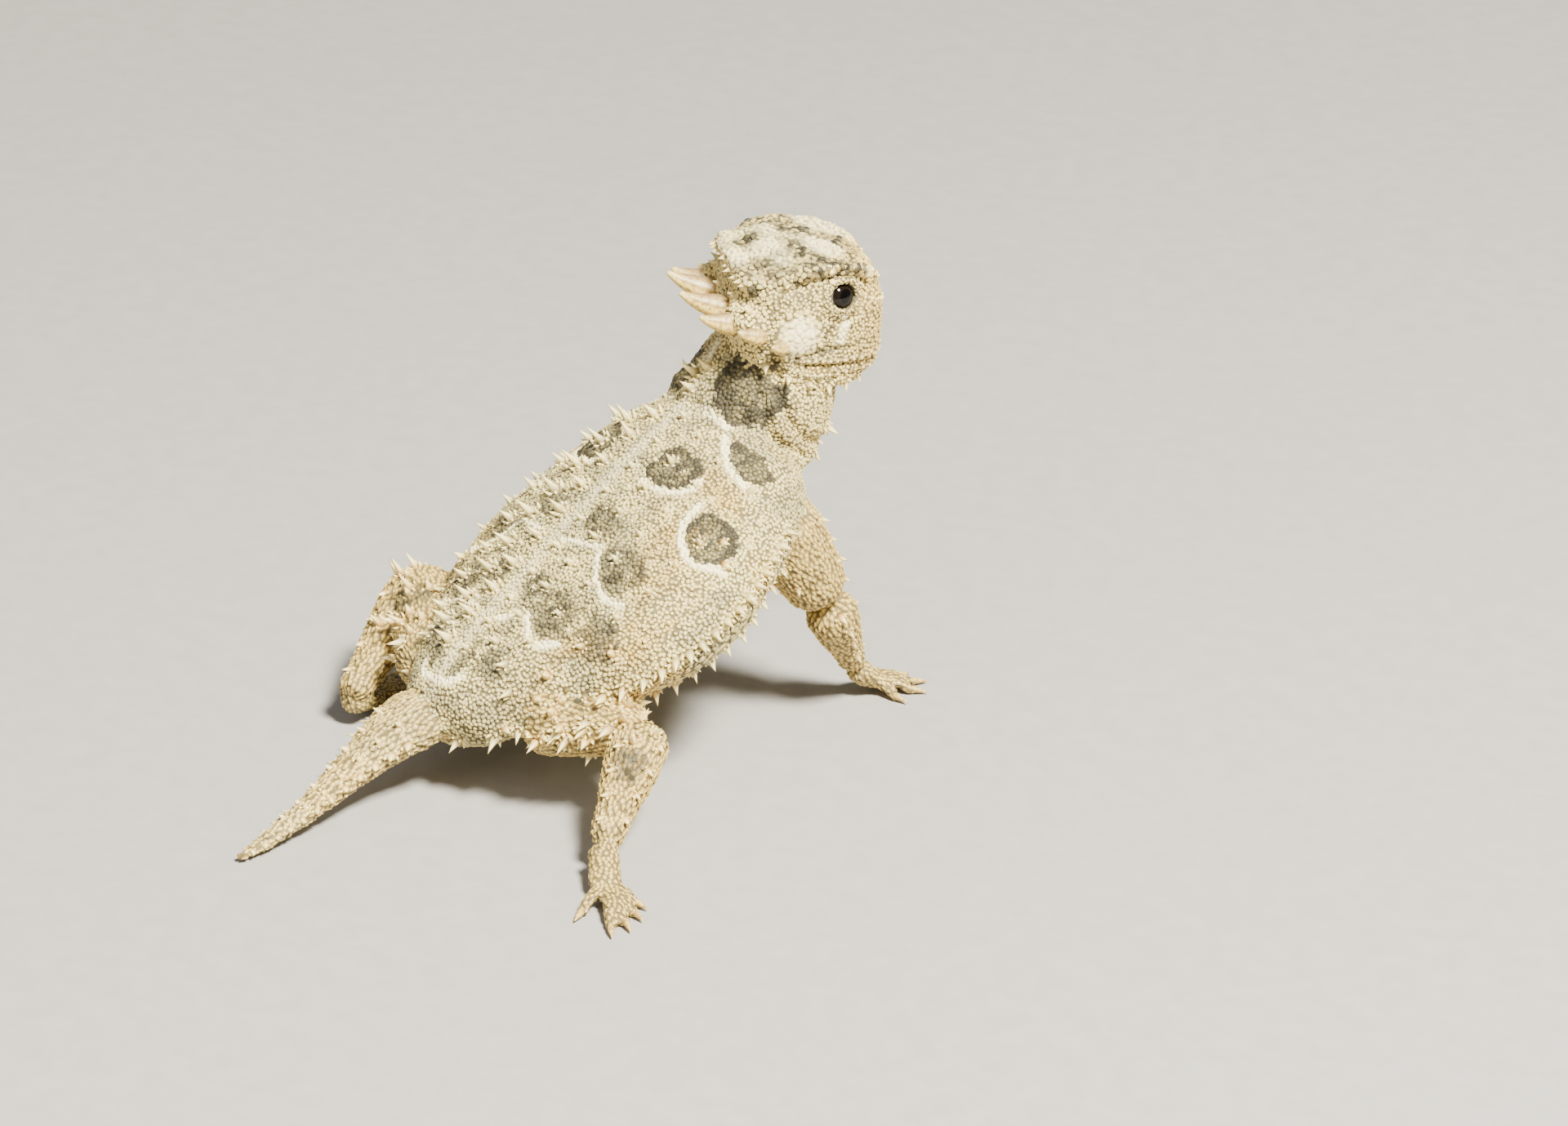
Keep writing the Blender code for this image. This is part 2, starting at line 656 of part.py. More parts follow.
def tail_spines(body, others):
    """The row along each edge of the tail and the two rows on its top."""
    tree, chance, made = tree_of(body), random.Random(7), []
    centres = [s.centre for s in TAIL]
    for side in (-1, 1):
        for angle, first, last, count, length in TAIL_ROWS:
            for k in range(count):
                share = first + (last - first) * k / (count - 1)
                size = length * (1.0 - 0.55 * share)
                way = Vector((side * math.sin(math.radians(angle)), 0.0, math.cos(math.radians(angle))))
                at, normal = skin_along(tree, smooth_through(centres, share), way)
                made += planted(
                    others, at, leaned(normal, Vector((-0.15, 1.0, 0.0)), 0.35),
                    size * chance.uniform(0.9, 1.1), 0.5 + 0.4 * size)
    return made


def limb_spines(body, others, first, last, rows, length, seed):
    """Rows of low thorns along the edges of one length of a leg."""
    tree, chance, made = tree_of(body), random.Random(seed), []
    along = (last - first).normalized()
    for way in rows:
        for share in (0.2, 0.4, 0.6, 0.8):
            at, normal = skin_along(tree, first.lerp(last, share), way)
            made += planted(
                others, at, leaned(normal, along, 0.45), length * chance.uniform(0.85, 1.1), 0.8)
    return made


def claws(leg):
    """One small claw on each toe tip."""
    made = []
    for heading, length in zip(leg.headings, leg.toes):
        way, stations = toe_stations(leg, heading, length, TOE_RADIUS)
        tip = stations[-1].centre - way * 0.2 + Vector((0, 0, 0.08))
        lean = (way + Vector((0, 0, -0.14))).normalized()
        made.append(spine(tip, lean, CLAW_LENGTH, CLAW_WIDTH))
    return made


def ball(at, radius, segments=14, rings=8):
    bm = bmesh.new()
    bmesh.ops.create_uvsphere(bm, u_segments=segments, v_segments=rings, radius=radius)
    bmesh.ops.translate(bm, vec=at, verts=bm.verts)
    return finished(bm, "ball")


def ring(at, axis, radius, thick, around=18, section=6):
    """A rounded ring, made by turning a small circle about an axis."""
    bm = bmesh.new()
    bmesh.ops.create_circle(
        bm, segments=section, radius=thick, matrix=Matrix.Translation((radius, 0, 0)) @ turned(x=90))
    bmesh.ops.spin(
        bm, geom=bm.verts[:] + bm.edges[:], cent=(0, 0, 0), axis=(0, 0, 1), angle=math.tau, steps=around,
        use_merge=True)
    bmesh.ops.remove_doubles(bm, verts=bm.verts, dist=0.0001)
    bmesh.ops.recalc_face_normals(bm, faces=bm.faces)
    bm.transform(Matrix.Translation(at) @ axis.to_track_quat("Z", "Y").to_matrix().to_4x4())
    return finished(bm, "ring")


def eye_places(tree):
    """The middle of each eyeball and the way it looks, found on the skin of the head."""
    places = {}
    for name, side in (("eye_right", -1), ("eye_left", 1)):
        at, normal = skin_at(tree, on_head(side, *EYE_SPOT))
        places[name] = (at - normal * EYE_DEPTH, normal)
    return places


def lip_line(tree):
    """The mouth's line from one corner round the snout to the other, on the skin."""
    spots = [on_head(-1, *spot) for spot in LIP_SPOTS] + [on_head(1, *spot) for spot in reversed(LIP_SPOTS)]
    line = [skin_at(tree, smooth_through(spots, k / 18)) for k in range(19)]
    return [at + normal * LIP_OUT for at, normal in line]


def carve_head(head, tree, eyes):
    """Cuts the eye sockets, the mouth's line, the nostrils and the ears."""
    cutters = [ball(at, EYE_RADIUS + JOINT_GAP) for at, normal in eyes.values()]
    groove = fleshy_tube("groove_form", round_stations(*((at, LIP_GROOVE) for at in lip_line(tree))), 12, 60)
    cutters.append(thinned(melted([groove], "groove", 1, GROOVE_VOXEL), GROOVE_TRIANGLES))
    for side in (-1, 1):
        at, normal = skin_at(tree, on_head(side, *NOSTRIL_SPOT))
        cutters.append(ball(at + normal * 0.05, 0.3, 8, 6))
        at, normal = skin_at(tree, on_head(side, *EAR_SPOT))
        cutters.append(ball(at + normal * 0.45, 0.85, 12, 8))
    return combined(head, cutters, "DIFFERENCE", "MANIFOLD")


def head_spines(head, others, eyes):
    """Lid rings, the fringe of scales under each jaw, and the small thorns of the crown's edge."""
    tree, chance, made = tree_of(head), random.Random(11), []
    for at, normal in eyes.values():
        made.append(ring(at + normal * LID_LIFT, normal, LID_RADIUS, LID_THICK))
    for side in (-1, 1):
        for spot, length in JAW_SPINES:
            at, normal = skin_at(tree, on_head(side, *spot))
            way = HEAD_PLACE.to_3x3() @ Vector((side * 0.8, 0.5, -0.35))
            made += planted(others, at, leaned(normal, way, 0.4), length * chance.uniform(0.9, 1.1), 0.8)
        for spot, length in CROWN_SPINES:
            at, normal = skin_at(tree, on_head(side, *spot))
            way = HEAD_PLACE.to_3x3() @ Vector((side * 0.4, 1.0, 0.5))
            made += planted(others, at, leaned(normal, way.normalized(), 0.5), length, 0.9)
    return made


def horn_nodes(head):
    """The horns, each standing 0.3 mm off the skin that it grows from."""
    tree, made = tree_of(head), {}
    for side, side_name in ((-1, "right"), (1, "left")):
        for name, spot, out, back, up, length, width in HORNS:
            at, normal = skin_at(tree, on_head(side, *spot))
            turn = HEAD_PLACE.to_3x3()
            way = (turn @ Vector((side * out, back, up))).normalized()
            rise = turn @ Vector((0.0, 0.0, 1.0))
            rows = (
                (at - way * HORN_ROOT, width * 0.55),
                (at + way * length * 0.1, width * 0.5),
                (at + way * length * 0.4 + rise * length * 0.02, width * 0.4),
                (at + way * length * 0.72 + rise * length * 0.07, width * 0.24),
                (at + way * length + rise * length * 0.16, width * 0.08))
            horn = fleshy_tube(f"{name}_{side_name}", round_stations(*rows), 8, 10)
            made[horn.name] = combined(horn, [grown_by(head, JOINT_GAP)], "DIFFERENCE", "MANIFOLD")
    return made


def painted(body, colour, roughness):
    """Gives the body its own surface."""
    material = bpy.data.materials.new(body.name + "_surface")
    material.use_nodes = True
    shader = material.node_tree.nodes["Principled BSDF"]
    shader.inputs["Base Color"].default_value = (*colour, 1.0)
    shader.inputs["Roughness"].default_value = roughness
    shader.inputs["Metallic"].default_value = 0.0
    body.data.materials.clear()
    body.data.materials.append(material)


def centred(nodes):
    """Moves everything so that the middle of the footprint is the origin, and scales to metres."""
    corners = [body.matrix_world @ vert.co for body in nodes.values() for vert in body.data.vertices]
    low = Vector([min(c[k] for c in corners) for k in range(3)])
    high = Vector([max(c[k] for c in corners) for k in range(3)])
    shift = Matrix.Translation((-(low.x + high.x) / 2, -(low.y + high.y) / 2, -low.z))
    for body in nodes.values():
        body.data.transform(Matrix.Scale(METRES, 4) @ shift)
        body.data.update()


def clear_scene():
    for old in list(bpy.data.objects):
        bpy.data.objects.remove(old)


def axial_nodes():
    """Head, neck, torso and tail, and a grown copy of the whole that the legs are fitted to."""
    skin = thinned(axial_body(), AXIAL_TRIANGLES)
    trunk = grown_by(skin, JOINT_GAP)
    return cut_axial(skin), trunk


def furnished_head(head, others):
    """Carves and dresses the head, and returns the eyes and horns that go with it."""
    tree = tree_of(head)
    eyes = eye_places(tree)
    made = {name: ball(at, EYE_RADIUS) for name, (at, normal) in eyes.items()}
    for name, body in made.items():
        body.name = name
    made.update(horn_nodes(head))
    others = others + [tree_of(made[name]) for name in made if name.startswith("horn")]
    combined(head, head_spines(head, others, eyes), "UNION", "MANIFOLD")
    carve_head(head, tree, eyes)
    return made


def main():
    clear_scene()
    nodes, trunk = axial_nodes()
    for name, leg in LEGS.items():
        nodes.update(cut_leg(name, leg, trunk))
    bpy.data.objects.remove(trunk)
    trees = {name: tree_of(body) for name, body in nodes.items()}
    others = {name: [trees[other] for other in trees if other != name] for name in trees}
    nodes.update(furnished_head(nodes["head"], others["head"]))
    for name, spines in (("torso", torso_spines), ("neck", neck_spines), ("tail", tail_spines)):
        combined(nodes[name], spines(nodes[name], others[name]), "UNION", "MANIFOLD")
    for key, leg in LEGS.items():
        kind, side = key.split("_")
        upper, lower, last = (f"{length}_{side}" for length in LENGTHS[kind])
        for name, a, b, ways, seed in (
                (upper, leg.root, leg.bend, UPPER_EDGES[kind], 13),
                (lower, leg.bend, leg.end, LOWER_EDGES[kind], 17)):
            rows = [Vector((leg.side * w[0], w[1], w[2])).normalized() for w in ways]
            spines = limb_spines(nodes[name], others[name], a, b, rows, LIMB_SPINE, seed)
            combined(nodes[name], spines, "UNION", "MANIFOLD")
        combined(nodes[last], claws(leg), "UNION", "MANIFOLD")
    for name, body in nodes.items():
        tidied(body)
        if name.startswith("eye"):
            painted(body, EYE_COLOUR, 0.12)
        elif name.startswith("horn"):
            painted(body, HORN_COLOUR, 0.55)
        else:
            painted(body, SKIN_COLOUR, 0.8)
    centred(nodes)


main()
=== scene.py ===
# %% [markdown]
# # A horned lizard at life size
# A young horned lizard, about 65 mm from claws to tail tip as it stands, propped on its fore legs.
# The imported model gives every place and size. This script gives the looks: one skin, the granules,
# plates and thorns that grow from it, the horns, the eyes, the claws, and soft light to see them by.
# The frame is loaded first, and its box is kept so that the finished pieces can be pressed into it.

# %% Load the frame
import json
import math
import random
from collections import namedtuple
from itertools import product

import bmesh
import bpy
import numpy as np
from mathutils import Matrix, Vector
from mathutils.bvhtree import BVHTree
from mathutils.kdtree import KDTree

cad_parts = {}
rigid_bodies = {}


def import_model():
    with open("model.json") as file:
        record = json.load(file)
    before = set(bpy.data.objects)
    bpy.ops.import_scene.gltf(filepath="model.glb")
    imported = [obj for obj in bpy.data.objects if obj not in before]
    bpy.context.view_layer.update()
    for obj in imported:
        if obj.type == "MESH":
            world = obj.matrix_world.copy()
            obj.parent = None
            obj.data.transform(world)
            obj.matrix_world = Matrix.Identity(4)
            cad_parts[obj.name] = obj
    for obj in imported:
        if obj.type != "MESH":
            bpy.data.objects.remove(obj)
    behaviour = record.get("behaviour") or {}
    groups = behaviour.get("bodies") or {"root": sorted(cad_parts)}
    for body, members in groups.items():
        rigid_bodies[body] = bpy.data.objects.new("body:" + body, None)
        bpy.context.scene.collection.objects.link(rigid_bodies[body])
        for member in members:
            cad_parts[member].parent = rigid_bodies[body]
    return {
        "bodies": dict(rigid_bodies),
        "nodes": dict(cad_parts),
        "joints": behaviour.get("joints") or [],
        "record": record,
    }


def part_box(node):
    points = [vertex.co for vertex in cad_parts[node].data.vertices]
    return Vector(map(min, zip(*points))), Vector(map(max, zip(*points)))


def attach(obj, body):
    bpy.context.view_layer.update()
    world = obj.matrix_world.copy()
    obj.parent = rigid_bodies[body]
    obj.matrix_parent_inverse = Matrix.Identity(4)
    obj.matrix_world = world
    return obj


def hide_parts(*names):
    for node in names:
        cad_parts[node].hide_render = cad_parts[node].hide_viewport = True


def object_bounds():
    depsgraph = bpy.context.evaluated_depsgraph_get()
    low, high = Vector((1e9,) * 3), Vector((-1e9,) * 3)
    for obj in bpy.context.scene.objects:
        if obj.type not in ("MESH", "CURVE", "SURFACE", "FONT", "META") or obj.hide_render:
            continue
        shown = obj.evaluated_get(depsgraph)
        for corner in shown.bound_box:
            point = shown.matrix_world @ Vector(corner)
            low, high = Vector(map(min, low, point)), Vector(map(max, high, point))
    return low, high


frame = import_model()
CAD_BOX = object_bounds()
MM = 0.001
print("frame:", len(frame["nodes"]), "nodes, box in mm",
      [round((b - a) / MM, 1) for a, b in zip(*CAD_BOX)])

# %% [markdown]
# ## The stance
# The flesh is drawn again from the same named sizes as the solids, only finer. Lengths are
# millimetres, the head points along -Y and the animal's right side is -X. A station is one
# cross-section: its half width, and how far the flesh rises above and drops below its widest line.
# A leg runs from its root over its bend to its end, and its palm is the middle of its sole. Its
# toes point so many degrees outward from straight ahead.

# %% Stance and cross-sections
Station = namedtuple("Station", "centre width rise drop")
BodyStation = namedtuple("BodyStation", "forward level width rise drop")
Leg = namedtuple("Leg", "side root bend end palm radii sole headings toes")

PELVIS = Vector((-2.2, -1.6, 6.6))
TRUNK_PITCH, TRUNK_ROLL, TRUNK_TURN = 28.5, 9.5, 3.0
HEAD_CENTRE = Vector((-2.75, -35.0, 34.6))
HEAD_TURN, HEAD_NOD = 24.0, 4.0

TRUNK = [
    BodyStation(-3.0, -0.4, 4.4, 2.8, 2.2),
    BodyStation(0.0, -0.2, 6.8, 4.2, 2.7),
    BodyStation(4.0, -0.4, 9.9, 5.3, 3.4),
    BodyStation(9.0, -1.0, 14.1, 6.4, 4.4),
    BodyStation(14.0, -1.4, 16.2, 7.3, 5.1),
    BodyStation(19.0, -1.4, 16.2, 7.7, 5.4),
    BodyStation(24.0, -0.9, 14.6, 7.6, 5.6),
    BodyStation(28.5, -0.3, 12.2, 7.1, 5.8),
    BodyStation(32.0, 0.2, 9.4, 6.5, 5.6),
    BodyStation(34.5, 0.6, 6.8, 5.2, 5.0),
]
HEAD = [
    BodyStation(-7.0, 0.3, 5.4, 4.2, 3.3),
    BodyStation(-5.3, 0.0, 6.6, 5.1, 4.6),
    BodyStation(-2.4, -0.3, 6.7, 5.7, 5.2),
    BodyStation(0.6, -0.5, 6.1, 5.8, 5.4),
    BodyStation(3.4, -0.9, 5.2, 5.6, 5.1),
    BodyStation(5.4, -1.3, 4.2, 4.9, 4.6),
    BodyStation(7.0, -1.8, 3.1, 3.7, 3.6),
]
TAIL = [
    Station(Vector((-1.2, -0.4, 6.9)), 4.4, 2.8, 2.4),
    Station(Vector((-1.0, 3.6, 5.5)), 3.1, 2.1, 1.9),
    Station(Vector((-1.3, 7.4, 4.0)), 2.1, 1.55, 1.5),
    Station(Vector((-2.0, 11.2, 2.6)), 1.5, 1.2, 1.15),
    Station(Vector((-2.8, 15.0, 1.55)), 1.1, 0.92, 0.9),
    Station(Vector((-3.5, 18.4, 0.85)), 0.8, 0.7, 0.7),
    Station(Vector((-3.9, 21.4, 0.4)), 0.45, 0.4, 0.4),
]

FORE_TOES = (2.3, 3.0, 3.5, 3.2, 2.3)
HIND_TOES = (2.8, 4.0, 5.2, 5.9, 3.8)
FORE_RADII = (3.4, 2.9, 2.25, 1.9, 1.15)
HIND_RADII = (3.2, 2.75, 2.45, 2.1, 1.35)
FORE_SOLE = (1.6, 1.9)
HIND_SOLE = (1.55, 2.9)
TOE_RADIUS = 0.52
TOE_ARCH = 1.05
SOLE = 0.12
CLAW_LENGTH = 1.3
LEGS = {
    "fore_right": Leg(
        -1, Vector((-9.2, -27.2, 20.3)), Vector((-11.0, -32.1, 11.2)), Vector((-8.8, -37.0, 3.3)),
        Vector((-8.5, -39.0, 1.0)), FORE_RADII, FORE_SOLE, (-34, -6, 18, 42, 76), FORE_TOES),
    "fore_left": Leg(
        1, Vector((7.4, -27.0, 17.8)), Vector((12.4, -29.4, 9.8)), Vector((12.0, -35.4, 3.2)),
        Vector((12.0, -37.5, 1.0)), FORE_RADII, FORE_SOLE, (-34, -6, 18, 42, 76), FORE_TOES),
    "hind_right": Leg(
        -1, Vector((-8.0, -3.6, 7.8)), Vector((-16.0, -10.1, 8.3)), Vector((-21.8, -1.7, 2.6)),
        Vector((-24.7, 0.3, 1.0)), HIND_RADII, HIND_SOLE, (76, 94, 109, 122, 152), HIND_TOES),
    "hind_left": Leg(
        1, Vector((3.8, -3.4, 6.4)), Vector((14.8, -10.0, 9.4)), Vector((10.6, 0.4, 2.9)),
        Vector((12.4, -2.8, 1.0)), HIND_RADII, HIND_SOLE, (-8, 8, 22, 36, 68), HIND_TOES),
}
LENGTHS = {"fore": ("upper_arm", "forearm", "hand"), "hind": ("thigh", "shin", "foot")}


def turned(x=0.0, y=0.0, z=0.0):
    """A rotation of so many degrees about X, then Y, then Z."""
    return (
        Matrix.Rotation(math.radians(z), 4, "Z")
        @ Matrix.Rotation(math.radians(y), 4, "Y")
        @ Matrix.Rotation(math.radians(x), 4, "X")
    )


TRUNK_PLACE = Matrix.Translation(PELVIS) @ turned(x=-TRUNK_PITCH, y=TRUNK_ROLL, z=-TRUNK_TURN)
HEAD_PLACE = Matrix.Translation(HEAD_CENTRE) @ turned(x=HEAD_NOD, z=-HEAD_TURN)


def on_head(side, out, forward, up):
    """A place in the head's own measure: out to a side, forward and up."""
    return HEAD_PLACE @ Vector((side * out, -forward, up))


print("stance: chest", round((TRUNK_PLACE @ Vector((0, -30, 0))).z, 1), "mm up, head",
      round(HEAD_CENTRE.z, 1), "mm up")

# %% [markdown]
# ## Tubes of flesh
# A lizard's trunk, neck, legs and tail are all rounded tubes that swell and taper. Each starts as
# a sphere whose rings are moved onto the stations, so both ends close by themselves. While a tube
# is made, the way that the scales on it point is noted, from head to tail and from hip to toe.

# %% Draw a tube
FormPoint = namedtuple("FormPoint", "place lie region")
form_points = []
# Shares of a tube's length: how far to look for its direction, and the most that a round end takes
LOOK_AHEAD = 0.01
LONGEST_CAP = 0.45


def smooth_through(points, share):
    """The point at a share of the way along a smooth curve through the given ones."""
    spans = len(points) - 1
    place = min(max(share, 0.0), 1.0) * spans
    k = min(int(place), spans - 1)
    f = place - k
    before = points[k - 1] if k else points[0] * 2 - points[1]
    after = points[k + 2] if k + 2 <= spans else points[spans] * 2 - points[spans - 1]
    a, b = points[k], points[k + 1]
    return (
        a * (2 * f**3 - 3 * f**2 + 1)
        + (b - before) * 0.5 * (f**3 - 2 * f**2 + f)
        + b * (3 * f**2 - 2 * f**3)
        + (after - a) * 0.5 * (f**3 - f**2)
    )


def section_point(angle, width, rise, drop, fullness):
    """A point of a rounded cross-section: sideways and up."""
    across, up = math.cos(angle), math.sin(angle)
    reach = (abs(across) ** fullness + abs(up) ** fullness) ** (-1.0 / fullness)
    return width * across * reach, (rise if up > 0 else drop) * up * reach


def tube(stations, around=32, along=40, upward=Vector((0, 0, 1)), fullness=2.0, end=0.8, facing=None):
    """A bmesh over the stations, with round caps at both ends.

    Also gives, for each vertex, the way along the tube there and the share of its length passed.
    """
    centres = [s.centre for s in stations]
    sizes = [Vector((s.width, s.rise, s.drop)) for s in stations]
    length = sum((b - a).length for a, b in zip(centres, centres[1:]))
    caps = [min(LONGEST_CAP, end * min(s.width, s.rise + s.drop) / length)
            for s in (stations[0], stations[-1])]
    bm = bmesh.new()
    bmesh.ops.create_uvsphere(bm, u_segments=around, v_segments=along, radius=1.0)
    ways, shares = [], []
    for vert in bm.verts:
        share = math.acos(max(-1.0, min(1.0, vert.co.z))) / math.pi
        angle = math.atan2(vert.co.y, vert.co.x)
        ahead = facing or (smooth_through(centres, share + LOOK_AHEAD)
                           - smooth_through(centres, share - LOOK_AHEAD))
        side = ahead.cross(upward).normalized()
        up = side.cross(ahead).normalized()
        full = 1.0
        for left, cap in ((share, caps[0]), (1.0 - share, caps[1])):
            if left < cap:
                full *= math.sqrt(max(0.0, 1.0 - (1.0 - left / cap) ** 2))
        width, rise, drop = smooth_through(sizes, share) * full
        x, z = section_point(angle, width, rise, drop, fullness)
        vert.co = smooth_through(centres, share) + side * x + up * z
        ways.append(ahead.normalized())
        shares.append(share)
    bmesh.ops.recalc_face_normals(bm, faces=bm.faces)
    return bm, ways, shares


def flesh(region, backward, stations, *settings):
    """A tube of the body, with the lie of its scales noted."""
    bm, ways = tube(stations, *settings)[:2]
    for vert, way in zip(bm.verts, ways):
        form_points.append(FormPoint(vert.co.copy(), -way if backward else way, region))
    return bm


def round_stations(*rows):
    """Round stations from pairs of a middle and a radius."""
    return [Station(Vector(at), r, r, r) for at, r in rows]


def placed_stations(rows, place):
    """Trunk or head rows as stations in the animal's own frame."""
    return [
        Station(place @ Vector((0.0, -r.forward, r.level)), r.width, r.rise, r.drop) for r in rows
    ]


print("tubes: closed sphere meshes, moved onto their stations")

# %% [markdown]
# ## The forms under the skin
# Torso, neck and tail run in one line. The skull gets its brow ridges, the shelves that carry the
# temple horns, and the edges of the jaws, because these give a horned lizard its face. Each leg is
# an upper and a lower length, a sole and five toes.

# %% Torso, neck, tail and head
# Tubes on each side of the skull: out, forward and up from its middle, and their radius there
BROW_RIDGE = (
    (5.2, -4.6, 3.4, 0.9), (5.2, -2.6, 3.9, 1.0), (5.0, -0.8, 4.1, 1.05), (4.3, 2.4, 3.9, 1.0),
    (2.9, 5.4, 2.8, 0.85))
HORN_SHELF = ((3.2, -6.6, 0.5, 1.1), (5.6, -5.6, 0.0, 1.2), (6.1, -3.4, -1.2, 1.0))
JAW_EDGE = ((5.4, -3.2, -3.8, 0.9), (5.0, 0.0, -4.8, 1.0), (4.0, 2.8, -5.2, 1.0), (2.7, 5.0, -5.2, 0.8))
# The crest runs from the one side, over the rear of the skull, to the other
CREST = ((5.4, -3.8, 2.8, 0.7), (4.7, -5.6, 3.3, 0.8), (0.0, -6.2, 4.0, 0.8))


def ridge(side, rows):
    """Round stations of a tube on the skull."""
    return round_stations(*((on_head(side, *row[:3]), row[3]) for row in rows))


forms = []
trunk_up = TRUNK_PLACE.to_3x3() @ Vector((0, 0, 1))
forms.append(flesh("torso", True, placed_stations(TRUNK, TRUNK_PLACE), 48, 56, trunk_up, 2.05))
forms.append(flesh("neck", True, [
    Station(TRUNK_PLACE @ Vector((0.0, -29.5, 0.4)), 10.0, 6.6, 5.8),
    Station(TRUNK_PLACE @ Vector((-0.5, -34.0, 2.0)), 7.6, 6.4, 6.2),
    Station(Vector((-1.9, -31.8, 27.4)), 6.4, 5.7, 6.2),
    Station(HEAD_PLACE @ Vector((0.0, 2.0, -1.4)), 5.4, 4.0, 4.8)], 32, 30))
forms.append(flesh("tail", False, TAIL, 24, 40))

head_turn = HEAD_PLACE.to_3x3()
forms.append(flesh(
    "head", True, placed_stations(HEAD, HEAD_PLACE), 40, 44, head_turn @ Vector((0, 0, 1)), 3.0, 0.8,
    head_turn @ Vector((0, -1, 0))))
for side in (-1, 1):
    for rows, along_it in ((BROW_RIDGE, 20), (HORN_SHELF, 16), (JAW_EDGE, 16)):
        forms.append(flesh("head", True, ridge(side, rows), 12, along_it))
forms.append(flesh("head", True, ridge(-1, CREST) + ridge(1, CREST[-2::-1]), 12, 24))
print("forms of head, neck, torso and tail:", len(forms))

# %% Legs and toes


def toe_stations(leg, heading, length):
    """One toe, arched a little and flat-tipped on the floor, and the way it points."""
    turn = math.radians(heading)
    way = Vector((leg.side * math.sin(turn), -math.cos(turn), 0.0))
    start = Vector((leg.palm.x, leg.palm.y, 0.0)) + way * 0.6
    low = TOE_RADIUS - SOLE
    return way, round_stations(
        (start + Vector((0, 0, 0.9)), TOE_RADIUS * 1.1),
        (start + way * length * 0.45 + Vector((0, 0, TOE_ARCH)), TOE_RADIUS),
        (start + way * length * 0.85 + Vector((0, 0, low + 0.05)), TOE_RADIUS * 0.94),
        (start + way * length + Vector((0, 0, low)), TOE_RADIUS * 0.8))


def claw_places(leg):
    """Where each claw leaves its toe, and the way it points."""
    made = []
    for heading, length in zip(leg.headings, leg.toes):
        way, stations = toe_stations(leg, heading, length)
        made.append((stations[-1].centre - way * 0.2 + Vector((0, 0, 0.08)),
                     (way + Vector((0, 0, -0.14))).normalized()))
    return made


# A leg whose bend stands farther out than this lies nearly level, so up is the way across it
SPREAD_OUT = 6.0


def leg_forms(leg):
    """The tubes of one leg: upper and lower length, sole and toes."""
    root, bend, end, r = leg.root, leg.bend, leg.end, leg.radii
    across = Vector((leg.side, 0.2, 0.0))
    if abs(bend.x - root.x) > SPREAD_OUT:
        across = Vector((0.0, 0.35, 1.0))
    made = [
        flesh("limb", False, round_stations(
            (root, r[0]), (root.lerp(bend, 0.5), r[1] * 1.06), (bend, r[2])), 20, 22, across),
        flesh("limb", False, round_stations(
            (bend, r[2]), (bend.lerp(end, 0.35), r[3] * 1.08), (bend.lerp(end, 0.75), r[4] * 1.15),
            (end, r[4])), 20, 22, Vector((leg.side, 0.2, 0.1))),
    ]
    way = leg.palm - end
    way.z = 0.0
    way.normalize()
    width, reach = leg.sole
    made.append(flesh("foot", False, [
        Station(end + Vector((0, 0, -0.2)), r[4], r[4], r[4]),
        Station(end.lerp(leg.palm, 0.6) + Vector((0, 0, 0.1)), width * 0.85, 0.95, 1.1),
        Station(leg.palm + way * reach * 0.4 + Vector((0, 0, 0.05)), width, 0.8, 1.05)], 20, 18))
    for heading, length in zip(leg.headings, leg.toes):
        made.append(flesh("foot", False, toe_stations(leg, heading, length)[1], 10, 14))
    return made


for leg in LEGS.values():
    forms += leg_forms(leg)
print("forms in all:", len(forms))

# %% [markdown]
# ## Finding the frame's place
# The solids were moved so that the middle of their footprint is the origin. Two claw tips tell how
# far: the outermost one of the right hind foot and the foremost one of the right hand. Everything
# is drawn unmoved in millimetres, and set down in metres at the end.

# %% Measure the move


def claw_tips(leg):
    """Where the claws of one foot end."""
    return [at + way * CLAW_LENGTH for at, way in claw_places(leg)]


MOVED = Vector((
    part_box("foot_right")[0][0] / MM - min(tip.x for tip in claw_tips(LEGS["hind_right"])),
    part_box("hand_right")[0][1] / MM - min(tip.y for tip in claw_tips(LEGS["fore_right"])),
    0.0))
SET_DOWN = Matrix.Scale(MM, 4) @ Matrix.Translation(MOVED)
print("moved by", [round(v, 3) for v in MOVED], "mm")

# %% [markdown]
# ## One skin
# Real skin runs unbroken from snout to toes, so the overlapping tubes are melted together by a
# voxel remesh at a third of a millimetre and softened. The legs are softened less than the
# trunk, because toes are thin. A tree of the noted points then tells each part of the skin which
# region it belongs to and which way its scales lie.

# %% Melt the forms together
SKIN_VOXEL = 0.32
SOFT_TRUNK, SOFT_LEG, SOFT_FOOT = 1.0, 0.34, 0.2


def finished(bm, name):
    """The bmesh as a named object in the scene."""
    mesh = bpy.data.meshes.new(name)
    bm.to_mesh(mesh)
    bm.free()
    made = bpy.data.objects.new(name, mesh)
    bpy.context.scene.collection.objects.link(made)
    return made


def applied(body, kind, **settings):
    """Adds one modifier, sets it and applies it."""
    modifier = body.modifiers.new(kind.title(), kind)
    for key, value in settings.items():
        setattr(modifier, key, value)
    graph = bpy.context.evaluated_depsgraph_get()
    mesh = bpy.data.meshes.new_from_object(body.evaluated_get(graph))
    body.modifiers.clear()
    body.data = mesh
    return body


everything = bmesh.new()
for form in forms:
    loose = bpy.data.meshes.new("form")
    form.to_mesh(loose)
    form.free()
    everything.from_mesh(loose)
    bpy.data.meshes.remove(loose)
skin = finished(everything, "skin")
applied(skin, "REMESH", mode="VOXEL", voxel_size=SKIN_VOXEL)

